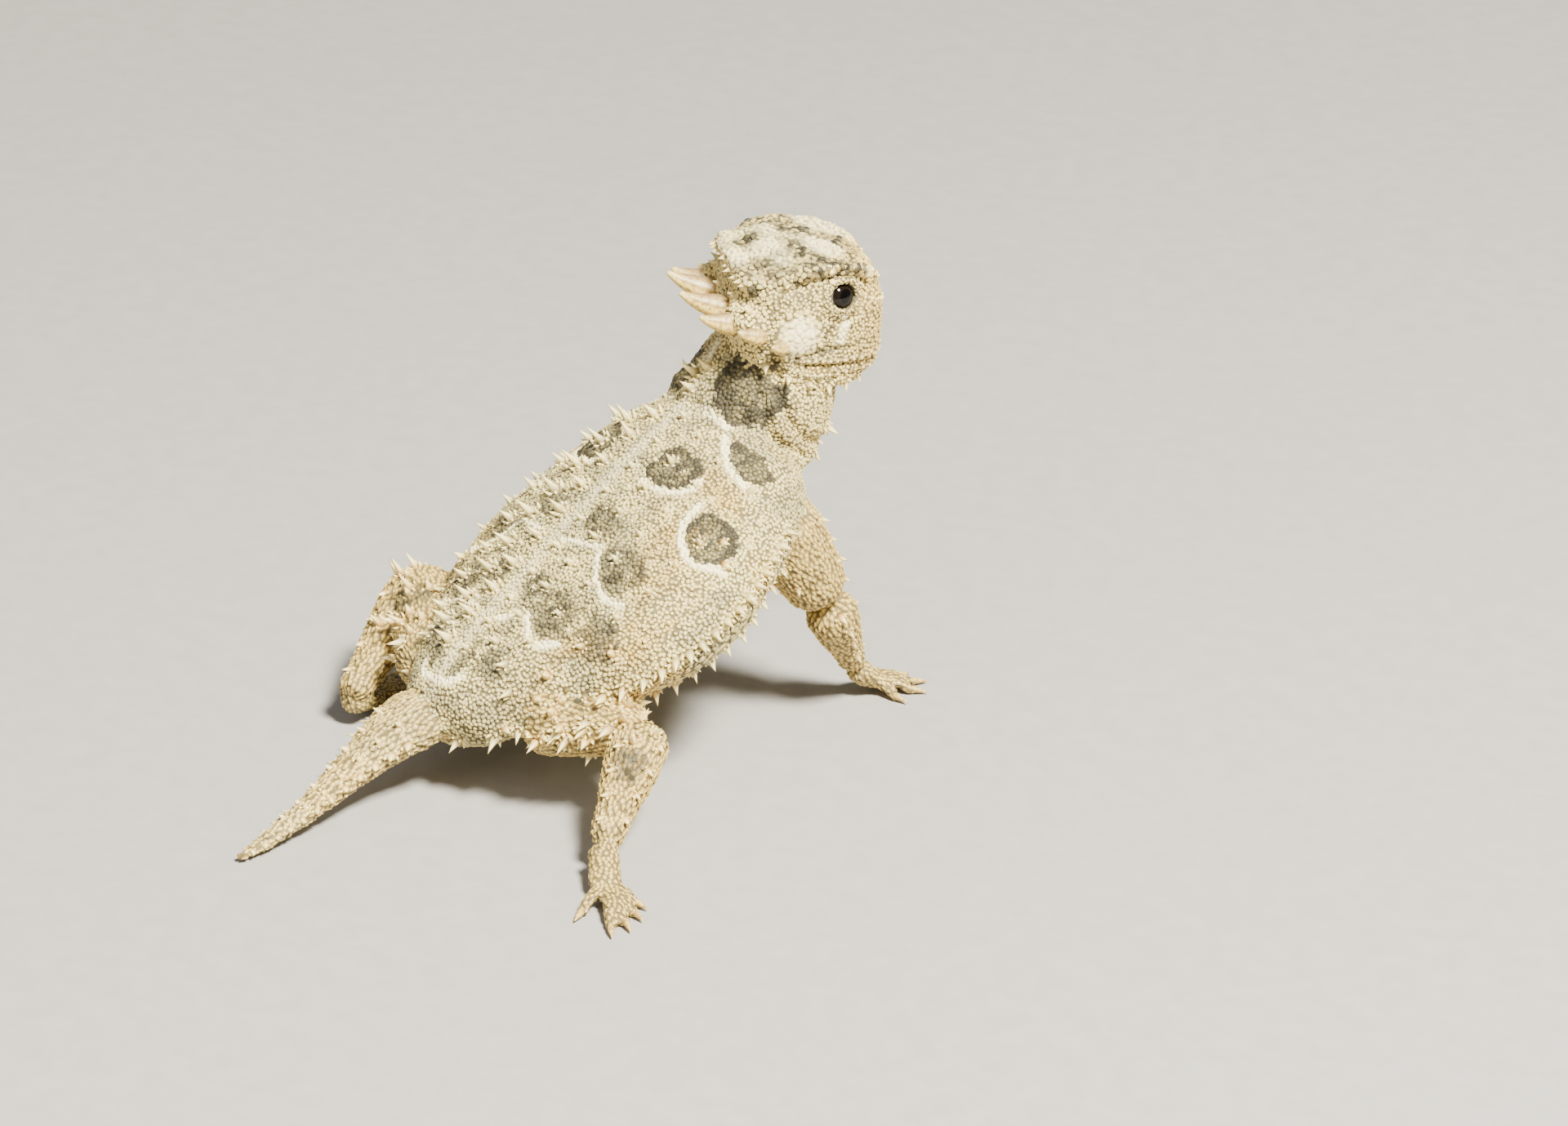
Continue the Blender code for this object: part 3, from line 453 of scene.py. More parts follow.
REGIONS = {"torso": 0, "neck": 1, "tail": 2, "head": 3, "limb": 4, "foot": 5}
point_tree = KDTree(len(form_points))
for index, point in enumerate(form_points):
    point_tree.insert(point.place, index)
point_tree.balance()


def regions_of(places):
    """For each place, its region's number and the lie of its scales, from the nearest form."""
    kinds = np.zeros(len(places), int)
    lies = np.zeros((len(places), 3))
    for row, place in enumerate(places):
        point = form_points[point_tree.find(place)[1]]
        kinds[row] = REGIONS[point.region]
        lies[row] = point.lie
    return kinds, lies


def coords(body):
    """A body's vertices as an array."""
    flat = np.empty(len(body.data.vertices) * 3, np.float32)
    body.data.vertices.foreach_get("co", flat)
    return flat.reshape(-1, 3).astype(float)


def put_back(body, places):
    """Sets a body's vertices from an array."""
    body.data.vertices.foreach_set("co", places.astype(np.float32).ravel())
    body.data.update()


kinds = regions_of(coords(skin))[0]
soft = skin.vertex_groups.new(name="soft")
for share, wanted in ((SOFT_TRUNK, kinds < 4), (SOFT_LEG, kinds == 4), (SOFT_FOOT, kinds == 5)):
    soft.add(np.flatnonzero(wanted).tolist(), share, "REPLACE")
applied(skin, "SMOOTH", factor=0.5, iterations=9, vertex_group="soft")
print("skin:", len(skin.data.polygons), "faces")

# %% [markdown]
# ## Finer faces for the head
# The head needs lids, lips, nostrils and ears finer than a third of a millimetre, so its faces
# are split once more. The skin is also drawn in by the depth of its coat, twice as far on the head
# and the tail: the scales that stand on it then reach the size of the solids, and no further.

# %% Split the head, draw the skin in
COAT_DEPTH = 0.12
LOWEST_SKIN = 0.03
HEAD_LEAST, HEAD_MOST = (-8.6, -9.5, -7.2), (8.6, 8.2, 8.0)
TRUNK_BACK = TRUNK_PLACE.inverted()
HEAD_BACK = HEAD_PLACE.inverted()


def local(matrix, places):
    """Places in a part's own measure: right, forward and up."""
    turned_in = places @ np.array(matrix.to_3x3()).T + np.array(matrix.translation)
    return turned_in * np.array((-1.0, -1.0, 1.0))


def normals_of(body):
    """The way out of the skin at each of a body's vertices."""
    flat = np.empty(len(body.data.vertices) * 3, np.float32)
    body.data.vertices.foreach_get("normal", flat)
    return flat.reshape(-1, 3).astype(float)


def dip(distance, radius):
    """A soft bump: 1 at no distance, 0 at the radius."""
    share = np.clip(1.0 - (distance / radius) ** 2, 0.0, 1.0)
    return share * share


bm = bmesh.new()
bm.from_mesh(skin.data)
fine = []
for edge in bm.edges:
    middle = HEAD_BACK @ ((edge.verts[0].co + edge.verts[1].co) / 2)
    if all(least < value < most for least, value, most in zip(HEAD_LEAST, middle, HEAD_MOST)):
        fine.append(edge)
bmesh.ops.subdivide_edges(bm, edges=fine, cuts=1, use_grid_fill=True, smooth=0.6)
bmesh.ops.triangulate(bm, faces=[face for face in bm.faces if len(face.verts) > 4])
bmesh.ops.smooth_vert(
    bm, verts=list({vert for edge in fine if edge.is_valid for vert in edge.verts}), factor=0.5,
    use_axis_x=True, use_axis_y=True, use_axis_z=True)
bm.to_mesh(skin.data)
bm.free()
skin.data.update()
kinds = regions_of(coords(skin))[0]
depth = np.where(np.isin(kinds, (2, 3)), COAT_DEPTH * 2, COAT_DEPTH)
places = coords(skin) - normals_of(skin) * depth[:, None]
places[:, 2] = np.maximum(places[:, 2], LOWEST_SKIN)
put_back(skin, places)
print("skin with the finer head:", len(skin.data.polygons), "faces")

# %% [markdown]
# ## The face
# On the photographed animal the mouth is a fine groove under a rounded lip ridge, a fold runs
# along the cheek above it, and the eye looks out of an oval opening between two full lids. These
# are small moves of the skin's own vertices along lines and ovals measured on the head. The eyes
# sit where the solids have them, because their nodes give the exact middle.

# %% Smooth randomness
LATTICE = 24


def noise(places, size, seed):
    """Smooth random values from 0 to 1 that change over so many millimetres."""
    lattice = np.random.default_rng(seed).random((LATTICE, LATTICE, LATTICE))
    cell = places / size
    low = np.floor(cell).astype(int)
    f = cell - low
    f = f * f * (3 - 2 * f)
    total = np.zeros(len(places))
    for corner in product((0, 1), repeat=3):
        weight = np.prod([f[:, k] if corner[k] else 1 - f[:, k] for k in range(3)], axis=0)
        spot = (low + corner) % LATTICE
        total += weight * lattice[spot[:, 0], spot[:, 1], spot[:, 2]]
    return total


def ramp(values, low, high):
    """0 below the low value, 1 above the high one, and smooth between."""
    share = np.clip((values - low) / (high - low), 0.0, 1.0)
    return share * share * (3 - 2 * share)


print("mean of the noise", round(float(noise(coords(skin)[::50], 1.0, 1).mean()), 2))

# %% Shape lips, lids, nostrils, ears and folds
EYE_RADIUS = 1.45
EYE_MIDDLES = {
    side: Vector([(a + b) / 2 / MM for a, b in zip(*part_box(name))]) - MOVED
    for side, name in ((-1, "eye_right"), (1, "eye_left"))}
EYE_OPENING = 1.02
LIP_SPOTS = ((6.0, -0.6, -3.6), (5.2, 2.2, -3.9), (4.0, 5.2, -4.0), (1.7, 7.8, -4.1))
CHEEK_FOLD = ((6.4, -1.6, -2.9), (6.0, 0.4, -2.5), (5.8, 1.6, -2.3), (5.0, 3.2, -2.3))
BROW = ((5.9, -3.2, 4.0), (5.7, -0.8, 4.7), (5.3, 1.4, 4.9), (4.2, 3.8, 4.2), (2.9, 5.9, 3.2))
UNDER_BROW = ((6.3, -2.2, 3.1), (6.1, -0.4, 3.75), (5.6, 1.8, 4.0), (4.7, 4.2, 3.2))
BEHIND_BROW = ((6.0, -2.4, 3.9), (6.4, -2.9, 2.4), (6.8, -3.2, 0.6))
UNDER_EYE = ((5.6, 3.3, 0.5), (5.9, 2.3, 0.0), (6.1, 1.4, -0.8), (6.0, 1.3, -2.2))
EYE_BAG = ((5.4, 3.6, 0.0), (5.7, 2.6, -0.7), (5.7, 2.2, -1.8))
JAW_FOLD = ((6.0, -0.6, -4.9), (5.7, 0.8, -5.3), (5.3, 1.9, -5.0), (4.6, 3.4, -5.1))
EAR_HOLLOW = ((6.6, -2.6, -2.4), (6.7, -2.9, -3.6), (6.4, -2.9, -4.6))
# How far the skin is moved out or in along each line of the face, and how far from it
FACE_LINES = (
    (BROW, 0.3, 0.75), (UNDER_BROW, -0.26, 0.55), (BEHIND_BROW, -0.24, 0.5),
    (CHEEK_FOLD, -0.2, 0.4), (UNDER_EYE, -0.2, 0.34), (EYE_BAG, 0.14, 0.45),
    (JAW_FOLD, -0.24, 0.4), (EAR_HOLLOW, -0.3, 0.55))
# Swellings and pits of the face: place, height and radius
FACE_BUMPS = (
    ((6.7, -1.3, -0.8), 0.28, 2.3), ((1.7, 7.6, -0.3), -0.34, 0.34), ((6.3, -3.2, -3.3), -0.5, 0.62),
    ((6.3, -4.4, 2.6), 0.2, 1.0), ((5.6, -5.2, 3.0), 0.16, 0.9), ((3.0, -3.0, 5.3), 0.16, 1.2),
    ((3.4, 0.6, 5.2), 0.16, 1.1), ((1.6, -1.2, 5.6), -0.14, 1.0), ((2.0, -5.6, 4.8), 0.14, 1.1))
NECK_FOLDS = (
    ((-8.6, -26.6, 30.6), (-8.2, -27.9, 27.5), (-6.6, -29.4, 24.4), (-3.6, -32.4, 22.2)),
    ((-7.9, -28.6, 31.0), (-7.6, -29.9, 27.6), (-6.2, -31.4, 25.2), (-3.0, -34.0, 24.4)),
    ((4.6, -27.4, 29.6), (5.2, -29.4, 26.6), (4.2, -31.6, 24.2), (1.2, -33.6, 23.2)),
)


def skin_tree():
    """A tree for finding the nearest point of the skin as it is now."""
    work = bmesh.new()
    work.from_mesh(skin.data)
    made = BVHTree.FromBMesh(work)
    work.free()
    return made


def along(spots, count=60):
    """Many points on a smooth curve through a few."""
    spots = [Vector(spot) for spot in spots]
    return [smooth_through(spots, k / (count - 1)) for k in range(count)]


def on_skin(points, tree):
    """The nearest points of the skin."""
    return np.array([tree.find_nearest(point)[0] for point in points])


def to_line(places, line):
    """Distance from each place to the nearest point of a line, and which point that is."""
    tree = KDTree(len(line))
    for index, point in enumerate(line):
        tree.insert(point, index)
    tree.balance()
    found = [tree.find(place) for place in places]
    return np.array([f[2] for f in found]), np.array([f[1] for f in found])


def near(places, centre, radius):
    """The rows of the places within a radius of a centre."""
    return np.flatnonzero(((places - np.array(centre)) ** 2).sum(axis=1) < radius * radius)


LIP_DEPTH, LIP_WIDTH, LIP_RIDGE = 0.3, 0.22, 0.16
FOLD_DEPTH, FOLD_WIDTH, FOLD_RIDGE = 0.42, 0.75, 0.12
HEAD_REACH, NECK_REACH = 12.0, 13.0
NECK_MIDDLE = Vector((-2.0, -30.6, 26.6))

places, outward = coords(skin), normals_of(skin)
tree = skin_tree()
head_up = np.array(HEAD_PLACE.to_3x3() @ Vector((0, 0, 1)))
head_rows = near(places, HEAD_CENTRE, HEAD_REACH)
lip_spots = [on_head(-1, *spot) for spot in LIP_SPOTS]
lip_spots += [on_head(1, *spot) for spot in reversed(LIP_SPOTS)]
lip_line = on_skin(along(lip_spots, 160), tree)
away, nearest = to_line(places[head_rows], lip_line)
above = (places[head_rows] - lip_line[nearest]) @ head_up
groove = -LIP_DEPTH * dip(away, LIP_WIDTH)
lips = np.where(above > 0, dip(np.abs(above - 0.52), 0.42), dip(np.abs(above + 0.5), 0.4))
groove += LIP_RIDGE * lips * (away < 1.1)
places[head_rows] += outward[head_rows] * groove[:, None]
for side in (-1, 1):
    for spots, height, wide in FACE_LINES:
        line = on_skin(along([on_head(side, *spot) for spot in spots]), tree)
        away = to_line(places[head_rows], line)[0]
        places[head_rows] += outward[head_rows] * (height * dip(away, wide))[:, None]
    for spot, height, wide in FACE_BUMPS:
        centre = tree.find_nearest(on_head(side, *spot))[0]
        rows = near(places, centre, wide)
        away = np.linalg.norm(places[rows] - np.array(centre), axis=1)
        places[rows] += outward[rows] * (height * dip(away, wide))[:, None]
for spots in NECK_FOLDS:
    line = on_skin(along(spots), tree)
    rows = near(places, NECK_MIDDLE, NECK_REACH)
    away = to_line(places[rows], line)[0]
    fold = FOLD_RIDGE * dip(np.abs(away - 1.1), 0.7) - FOLD_DEPTH * dip(away, FOLD_WIDTH)
    places[rows] += outward[rows] * fold[:, None]
# The crown and the rear of the skull are lumpier than the face
rough = places[head_rows]
bony = ramp(local(HEAD_BACK, rough)[:, 2], 2.6, 3.8) + ramp(-local(HEAD_BACK, rough)[:, 1], 3.4, 4.6)
lumps = 0.16 * (noise(rough, 0.9, 11) - 0.5) + 0.12 * (noise(rough, 0.45, 12) - 0.5)
places[head_rows] += outward[head_rows] * (lumps * np.clip(bony, 0.25, 1.4))[:, None]
uneven = 0.3 * (noise(places, 3.2, 13) - 0.5) + 0.14 * (noise(places, 1.3, 14) - 0.5)
kinds = regions_of(places)[0]
places += outward * (uneven * (kinds < 2) * ramp(places[:, 2], 0.5, 2.0))[:, None]
put_back(skin, places)
print("eyes", [[round(c, 2) for c in middle] for middle in EYE_MIDDLES.values()], "mm before the move")

# %% Open the lids round the eyes
EYE_WAYS = {side: (tree.find_nearest(middle)[0] - middle).normalized()
            for side, middle in EYE_MIDDLES.items()}
LID_REACH, LID_HEIGHT, LID_HOLLOW, LID_MARGIN = 2.6, 0.34, 0.16, 0.05


def lid_measure(places, side):
    """Places measured from an eye's line of sight.

    How far along it, the offset across it, how long that is, and where the oval opening ends there.
    """
    offset, axis = places - np.array(EYE_MIDDLES[side]), np.array(EYE_WAYS[side])
    ahead = offset @ axis
    spread = offset - ahead[:, None] * axis
    radius = np.linalg.norm(spread, axis=1)
    tall = np.abs(spread @ head_up) / np.maximum(radius, 1e-6)
    return ahead, spread, radius, EYE_OPENING * (1.13 - 0.17 * tall)


places, outward = coords(skin), normals_of(skin)
for side, middle in EYE_MIDDLES.items():
    axis, centre = np.array(EYE_WAYS[side]), np.array(middle)
    rows = near(places, centre, 3.6)
    offset = places[rows] - centre
    ahead, spread, radius, opening = lid_measure(places[rows], side)
    inside = (radius < opening + LID_MARGIN) & (ahead > 0)
    sunk = np.sqrt(np.maximum(EYE_RADIUS**2 - radius**2, 0.0)) - 0.28
    moved = offset.copy()
    moved[inside] = (spread + sunk[:, None] * axis)[inside]
    rim = (radius >= opening + LID_MARGIN) & (radius < LID_REACH) & (ahead > 0)
    globe = np.sqrt(np.maximum((EYE_RADIUS + 0.16) ** 2 - np.minimum(radius, EYE_RADIUS) ** 2, 0.0))
    beyond = radius - opening
    lid = (LID_HEIGHT * dip(np.abs(beyond - 0.42), 0.5)
           - LID_HOLLOW * dip(np.abs(beyond - 1.15), 0.4))
    level = np.maximum(ahead, globe * (radius < 1.5)) + lid
    moved[rim] = (spread + level[:, None] * axis)[rim]
    places[rows] = centre + moved
put_back(skin, places)
print("eye openings", round(EYE_OPENING * 2, 2), "mm across")

# %% [markdown]
# ## The markings
# Young horned lizards carry paired dark spots along the back, each with a crisp pale edge toward
# the tail, on cream skin that warms to orange tan on the flanks and limbs. Skin and scales must
# agree, so one function gives four numbers for any place: how dark, how white, how warm, and a
# fine mottling. On the head the dark also holds painted shade along the face's creases, and the
# white a painted highlight on each cheek's bulge. The spots are few, so they are named ellipses
# and lines, repeated on the far side.

# %% Where the spots and pale edges lie
# A spot is a middle and three half sizes, an edge is a line. On the trunk and the head both are
# measured out to a side, forward and up from its middle, on neck and thighs in the animal's frame.
CRISP_SPOTS = (
    ((5.5, 24.6, 5.8), (2.5, 2.1, 3.6)), ((12.4, 21.1, 3.3), (2.1, 2.4, 3.6)),
    ((9.3, 28.7, 4.0), (2.3, 1.3, 3.2)))
FAINT_SPOTS = (
    ((9.0, 14.8, 4.3), (2.6, 2.3, 3.4)), ((3.9, 17.6, 5.6), (2.2, 1.7, 2.8)),
    ((6.5, 9.0, 4.2), (2.6, 2.2, 3.2)), ((2.8, 10.3, 5.0), (1.7, 1.6, 2.6)),
    ((1.7, 1.9, 4.1), (0.8, 1.8, 2.0)), ((4.4, 3.0, 3.8), (1.6, 1.4, 2.4)),
    ((10.9, 9.4, 2.2), (2.2, 2.0, 2.6)), ((4.2, 31.9, 5.6), (1.8, 1.0, 2.4)))
TRUNK_EDGES = (
    ((3.6, 22.4, 5.8), (5.4, 22.3, 5.5), (7.2, 22.7, 5.2), (8.3, 23.6, 4.8), (8.3, 24.8, 4.8)),
    ((10.0, 23.1, 4.1), (10.1, 21.8, 4.2), (10.6, 20.2, 4.0), (12.1, 18.9, 3.2), (13.3, 18.7, 2.6),
     (14.6, 19.8, 1.5)),
    ((1.3, 14.7, 5.3), (3.4, 15.1, 5.2), (5.9, 15.4, 4.9), (6.7, 14.2, 4.7), (8.0, 12.8, 4.2),
     (9.8, 12.1, 3.5), (11.2, 12.4, 3.1)),
    ((1.5, 6.4, 4.7), (2.7, 6.8, 4.6), (4.1, 7.6, 4.4), (5.3, 6.8, 4.1), (6.6, 5.9, 3.9),
     (8.4, 6.9, 3.5)),
    ((6.1, 29.6, 5.1), (7.3, 28.5, 4.8), (8.8, 27.3, 4.3), (10.8, 26.9, 3.3)),
    ((1.8, 30.9, 5.9), (4.1, 30.5, 5.6), (5.6, 30.4, 5.2)),
    ((0.4, -0.3, 3.8), (1.8, -0.2, 3.7), (2.8, 0.8, 3.8)))
NECK_SPOTS = (
    ((-5.4, -28.2, 28.9), (3.0, 3.1, 2.7)), ((-3.4, -28.2, 32.2), (1.3, 1.5, 1.5)),
    ((3.0, -26.6, 29.0), (2.6, 2.8, 2.5)))
NECK_EDGES = (
    ((0.0, -28.6, 31.2), (-0.6, -27.6, 29.7), (-1.0, -26.9, 28.2), (-2.0, -26.0, 27.2),
     (-3.4, -25.7, 26.5), (-5.8, -25.7, 26.2)),)
THIGH_SPOTS = (
    ((-12.6, -6.4, 11.2), (2.3, 1.9, 2.3)), ((-19.3, -6.0, 7.4), (1.5, 1.6, 1.4)),
    ((10.6, -6.2, 9.6), (2.2, 1.8, 2.2)))
HEAD_FLECKS = (
    ((4.2, -2.6, 4.8), 0.55), ((6.1, -2.2, 3.6), 0.5), ((2.8, -3.3, 5.1), 0.5),
    ((5.3, -5.3, 2.8), 0.6), ((1.1, -0.7, 5.4), 0.6), ((2.4, 0.3, 5.2), 0.5),
    ((1.2, -4.6, 4.8), 0.7), ((3.6, 2.1, 4.7), 0.5), ((5.9, -3.2, -3.3), 0.55),
    ((4.9, 1.9, -7.5), 0.3), ((5.6, 0.9, -6.3), 0.3), ((6.3, -0.5, -6.2), 0.3))
HEAD_WARM = (
    ((6.1, -1.6, 3.8), (5.9, -0.4, 4.3), (5.5, 1.2, 4.5), (4.6, 3.4, 4.1)),
    ((6.0, -0.4, -3.8), (5.6, 0.8, -4.0), (5.3, 1.8, -4.1)))
EAR_SLIT = ((6.6, -3.4, -2.3), (6.4, -3.3, -3.2), (6.3, -3.2, -4.0))
# Lines along the face's folds, under the brow and along the jaw, darkened with painted shade
CREASE_SHADE_LINES = (
    CHEEK_FOLD, ((6.0, 1.9, -0.2), (6.2, 1.2, -0.9), (6.0, 1.3, -2.2)),
    ((6.1, -1.8, 3.5), (6.0, -0.4, 4.0), (5.5, 1.4, 4.2), (4.6, 3.6, 3.6)), JAW_FOLD[:3])
HEAD_WHITE = (((5.6, 2.6, 0.2), (5.6, 2.5, -0.8), (5.5, 2.4, -1.7)),)
CHEEK_MIDDLE, CHEEK_RADIUS = (6.6, -1.4, -0.8), 2.2
BELLY_LEVEL = -2.4
CROWN_LEVEL = 3.2
THROAT_FRONT = -31.0
# Farther than any marking reaches
FAR = 9.0


def within(places, spots):
    """How near the middle of its nearest spot each place is: 0 there, 1 on the edge."""
    near_most = np.full(len(places), FAR)
    for centre, sizes in spots:
        near_most = np.minimum(near_most, np.linalg.norm((places - centre) / sizes, axis=1))
    return near_most


def gap_to(places, lines, flat=(1.0, 1.0, 1.0)):
    """Millimetres from each place to the nearest of some smooth lines, flattened along some axes."""
    points = np.array([point for spots in lines for point in along(spots, 50)])
    return to_line(places * flat, points * flat)[0]


def veins(places, size, seed, width=0.09):
    """Thin winding lines: 1 on a line, 0 between, where a smooth noise crosses its middle."""
    return 1.0 - ramp(np.abs(noise(places, size, seed) - 0.5), 0.02, width)


def mirrored(frame):
    """A part's own measure with both sides folded onto one."""
    return np.abs(frame * (1, 0, 0)) + frame * (0, 1, 1)


def on_face(lines):
    """Lines in the head's measure, laid onto the skin of its right side."""
    laid = []
    for spots in lines:
        points = [on_head(-1, *spot) for spot in along(spots, 14)]
        laid.append(mirrored(local(HEAD_BACK, on_skin(points, face_tree))))
    return laid


def from_cheek(head):
    """Millimetres from each place, in the head's measure, to the middle of the nearer cheek."""
    return np.linalg.norm(mirrored(head) - CHEEK_MIDDLE, axis=1)


face_tree = skin_tree()
ear_slit, head_warm, crease_shade_lines, head_white = (
    on_face(lines) for lines in ((EAR_SLIT,), HEAD_WARM, CREASE_SHADE_LINES, HEAD_WHITE))


def lid_gap(places):
    """Millimetres outside the edge of the nearer eye's opening."""
    gaps = []
    for side in EYE_MIDDLES:
        ahead, _, radius, opening = lid_measure(places, side)
        gaps.append(np.where(ahead > 0, radius - opening, FAR))
    return np.min(gaps, axis=0)


def markings(places, kinds):
    """Dark, white, warm and mottled, from 0 to 1, for places on the skin."""
    neck, tail, skull, leg, foot = (kinds == REGIONS[name] for name in (
        "neck", "tail", "head", "limb", "foot"))
    trunk, head = local(TRUNK_BACK, places), local(HEAD_BACK, places)
    folded, folded_head = mirrored(trunk), mirrored(head)
    wobble = (noise(places, 0.9, 1) - 0.5) * 0.34 + (noise(places, 0.4, 2) - 0.5) * 0.16
    body = (kinds < 2) & (trunk[:, 2] > -1.0)
    # Dark spots with a firm rim and veins inside, and faint ones without a rim
    crisp = np.where(body, within(folded, CRISP_SPOTS), FAR)
    crisp = np.minimum(crisp, np.where(kinds < 2, within(places, NECK_SPOTS), FAR)) + wobble
    faint = np.where(body, within(folded, FAINT_SPOTS), FAR)
    faint = np.minimum(faint, np.where(leg, within(places, THIGH_SPOTS), FAR)) + wobble * 1.6
    outline = np.exp(-((crisp - 0.92) / 0.09) ** 2)
    inner = 0.66 + 0.3 * veins(places, 1.1, 7) + 0.14 * veins(places, 0.5, 8)
    dark = ramp(-crisp, -1.06, -0.96) * np.clip(inner + 0.6 * outline, 0, 1)
    dark = np.maximum(dark, ramp(-faint, -1.15, -0.7) * (0.6 + 0.3 * veins(places, 0.8, 9)))
    # On the head: flecks, winding lines between the raised areas, painted shade along the face's
    # creases, lids and ear slits
    flecks = [(centre, (size,) * 3) for centre, size in HEAD_FLECKS]
    flecks = within(folded_head, flecks) + wobble * 1.5
    crown = skull * ramp(head[:, 2], 3.4, 4.4)
    dark = np.maximum(dark, skull * 0.85 * ramp(-flecks, -1.15, -0.8))
    raised = ramp(noise(places, 2.4, 17), 0.45, 0.62)
    lines = 0.75 * veins(places, 1.0, 15, 0.12) + 0.35 * veins(places, 0.6, 16)
    dark = np.maximum(dark, crown * np.clip(0.34 + lines, 0, 0.95) * (1.0 - 0.75 * raised))
    # Painted shade along the folds of the face
    dark = np.maximum(dark, skull * 0.7 * ramp(-gap_to(folded_head, crease_shade_lines), -0.24, -0.06))
    dark = np.maximum(dark, skull * 0.9 * ramp(-lid_gap(places), -0.2, -0.08))
    dark = np.maximum(dark, (neck | skull) * ramp(-gap_to(folded_head, ear_slit), -0.5, -0.25))
    # White: the edges of spots, the cheeks (their own pale skin with a painted highlight on the bulge),
    # the crown's raised areas and a stripe down the back
    edge = np.where(body, gap_to(folded, TRUNK_EDGES, (1.0, 1.0, 0.3)), FAR)
    edge = np.minimum(edge, np.where(kinds < 2, gap_to(places, NECK_EDGES), FAR))
    white = ramp(-edge - wobble * 0.2, -0.38, -0.24)
    # The cheeks' pale patch is partly their own colour and partly a painted highlight on their bulge
    white = np.maximum(white, skull * 0.75 * ramp(-from_cheek(head) - wobble, -2.1, -1.0))
    white = np.maximum(white, skull * 0.8 * ramp(-gap_to(folded_head, head_white), -0.5, -0.25))
    white = np.maximum(white, 0.45 * crown * raised)
    stripe = body * np.exp(-((trunk[:, 0] - 0.3) / 0.75) ** 2)
    white = np.maximum(white, 0.35 * stripe)
    dark = dark * (1.0 - white) * (1.0 - 0.5 * stripe)
    # Warm: the flanks in patches, legs, feet, tail and snout
    broad = noise(places, 3.0, 3)
    flank = (kinds == REGIONS["torso"]) * ramp(folded[:, 0], 5.0, 12.0) * ramp(broad, 0.35, 0.65)
    warm = flank * 0.85 + leg * (0.65 + 0.35 * broad) + foot * 0.7
    warm = warm + tail * (0.4 + 0.4 * broad) + neck * 0.3 * ramp(broad, 0.4, 0.7)
    face = 0.45 * ramp(head[:, 1], 1.0, 6.0) + 0.2
    face = face + 0.6 * ramp(-gap_to(folded_head, head_warm), -0.5, -0.15)
    warm = np.where(skull, face, warm)
    # Clouded at low values, and clearer on tail, legs, face and throat
    mottle = 0.5 * noise(places, 1.5, 4) + 0.32 * noise(places, 0.7, 5) + 0.18 * noise(places, 3.5, 6)
    grey = ramp(mottle, 0.38, 0.55) * (kinds < 2)
    warm = warm * (1 - white) * (1 - 0.55 * grey)
    clear = np.where(tail | leg | foot, 0.35, 0.0)
    clear = np.where(skull & (head[:, 2] < CROWN_LEVEL), 0.5, clear)
    clear = np.where(neck & (places[:, 1] < THROAT_FRONT), 0.45, clear)
    mottle = ramp(mottle, 0.3, 0.68) + clear
    return np.stack((dark, white, np.clip(warm, 0, 1), np.clip(mottle, 0, 1)), axis=1)


places = coords(skin)
kinds = regions_of(places)[0]
marks = markings(places, kinds)
print("dark share", round(float((marks[:, 0] > 0.5).mean()), 3), "white share",
      round(float((marks[:, 1] > 0.5).mean()), 3))

# %% [markdown]
# ## Scattering roots
# Granules, plates and keeled scales all grow from roots spread over the skin. A root is kept only
# if no other stands nearer than the spacing of its region, so the scales pack evenly without rows,
# as granular skin does. The spacings are a little over a quarter of a millimetre on the back and
# the head, and twice that on the belly.

# %% Scatter the roots
Roots = namedtuple("Roots", "places normals lies kinds spacing")
SPACING = {"torso": 0.275, "neck": 0.275, "tail": 0.38, "head": 0.26, "limb": 0.36, "foot": 0.32}
BELLY_SPACING, CROWN_SPACING, SNOUT_SPACING, CHEEK_SPACING, LID_SPACING = 0.54, 0.34, 0.3, 0.4, 0.19
SNOUT_START, LID_WIDTH = 5.0, 0.7
TRIES = 300000
SEARCH_CELL = 0.7
LOWEST_ROOT = 0.06


def unit(vectors):
    """The same directions, each of length 1."""
    return vectors / np.maximum(np.linalg.norm(vectors, axis=1), 1e-9)[:, None]


def corner_table():
    """The skin's triangles, as vertex numbers."""
    skin.data.calc_loop_triangles()
    flat = np.empty(len(skin.data.loop_triangles) * 3, np.int32)
    skin.data.loop_triangles.foreach_get("vertices", flat)
    return flat.reshape(-1, 3)


def spacing_at(places, kinds):
    """How far apart the scales stand: closest on the lids, widest on the belly."""
    table = np.array([SPACING[name] for name in REGIONS])
    gap = table[kinds]
    trunk, head = local(TRUNK_BACK, places), local(HEAD_BACK, places)
    skull = kinds == REGIONS["head"]
    gap = np.where((kinds == REGIONS["torso"]) & (trunk[:, 2] < BELLY_LEVEL), BELLY_SPACING, gap)
    gap = np.where(skull & (head[:, 2] > CROWN_LEVEL), CROWN_SPACING, gap)
    gap = np.where(skull & (head[:, 1] > SNOUT_START), SNOUT_SPACING, gap)
    gap = np.where(skull & (from_cheek(head) < CHEEK_RADIUS), CHEEK_SPACING, gap)
    return np.where(lid_gap(places) < LID_WIDTH, LID_SPACING, gap)


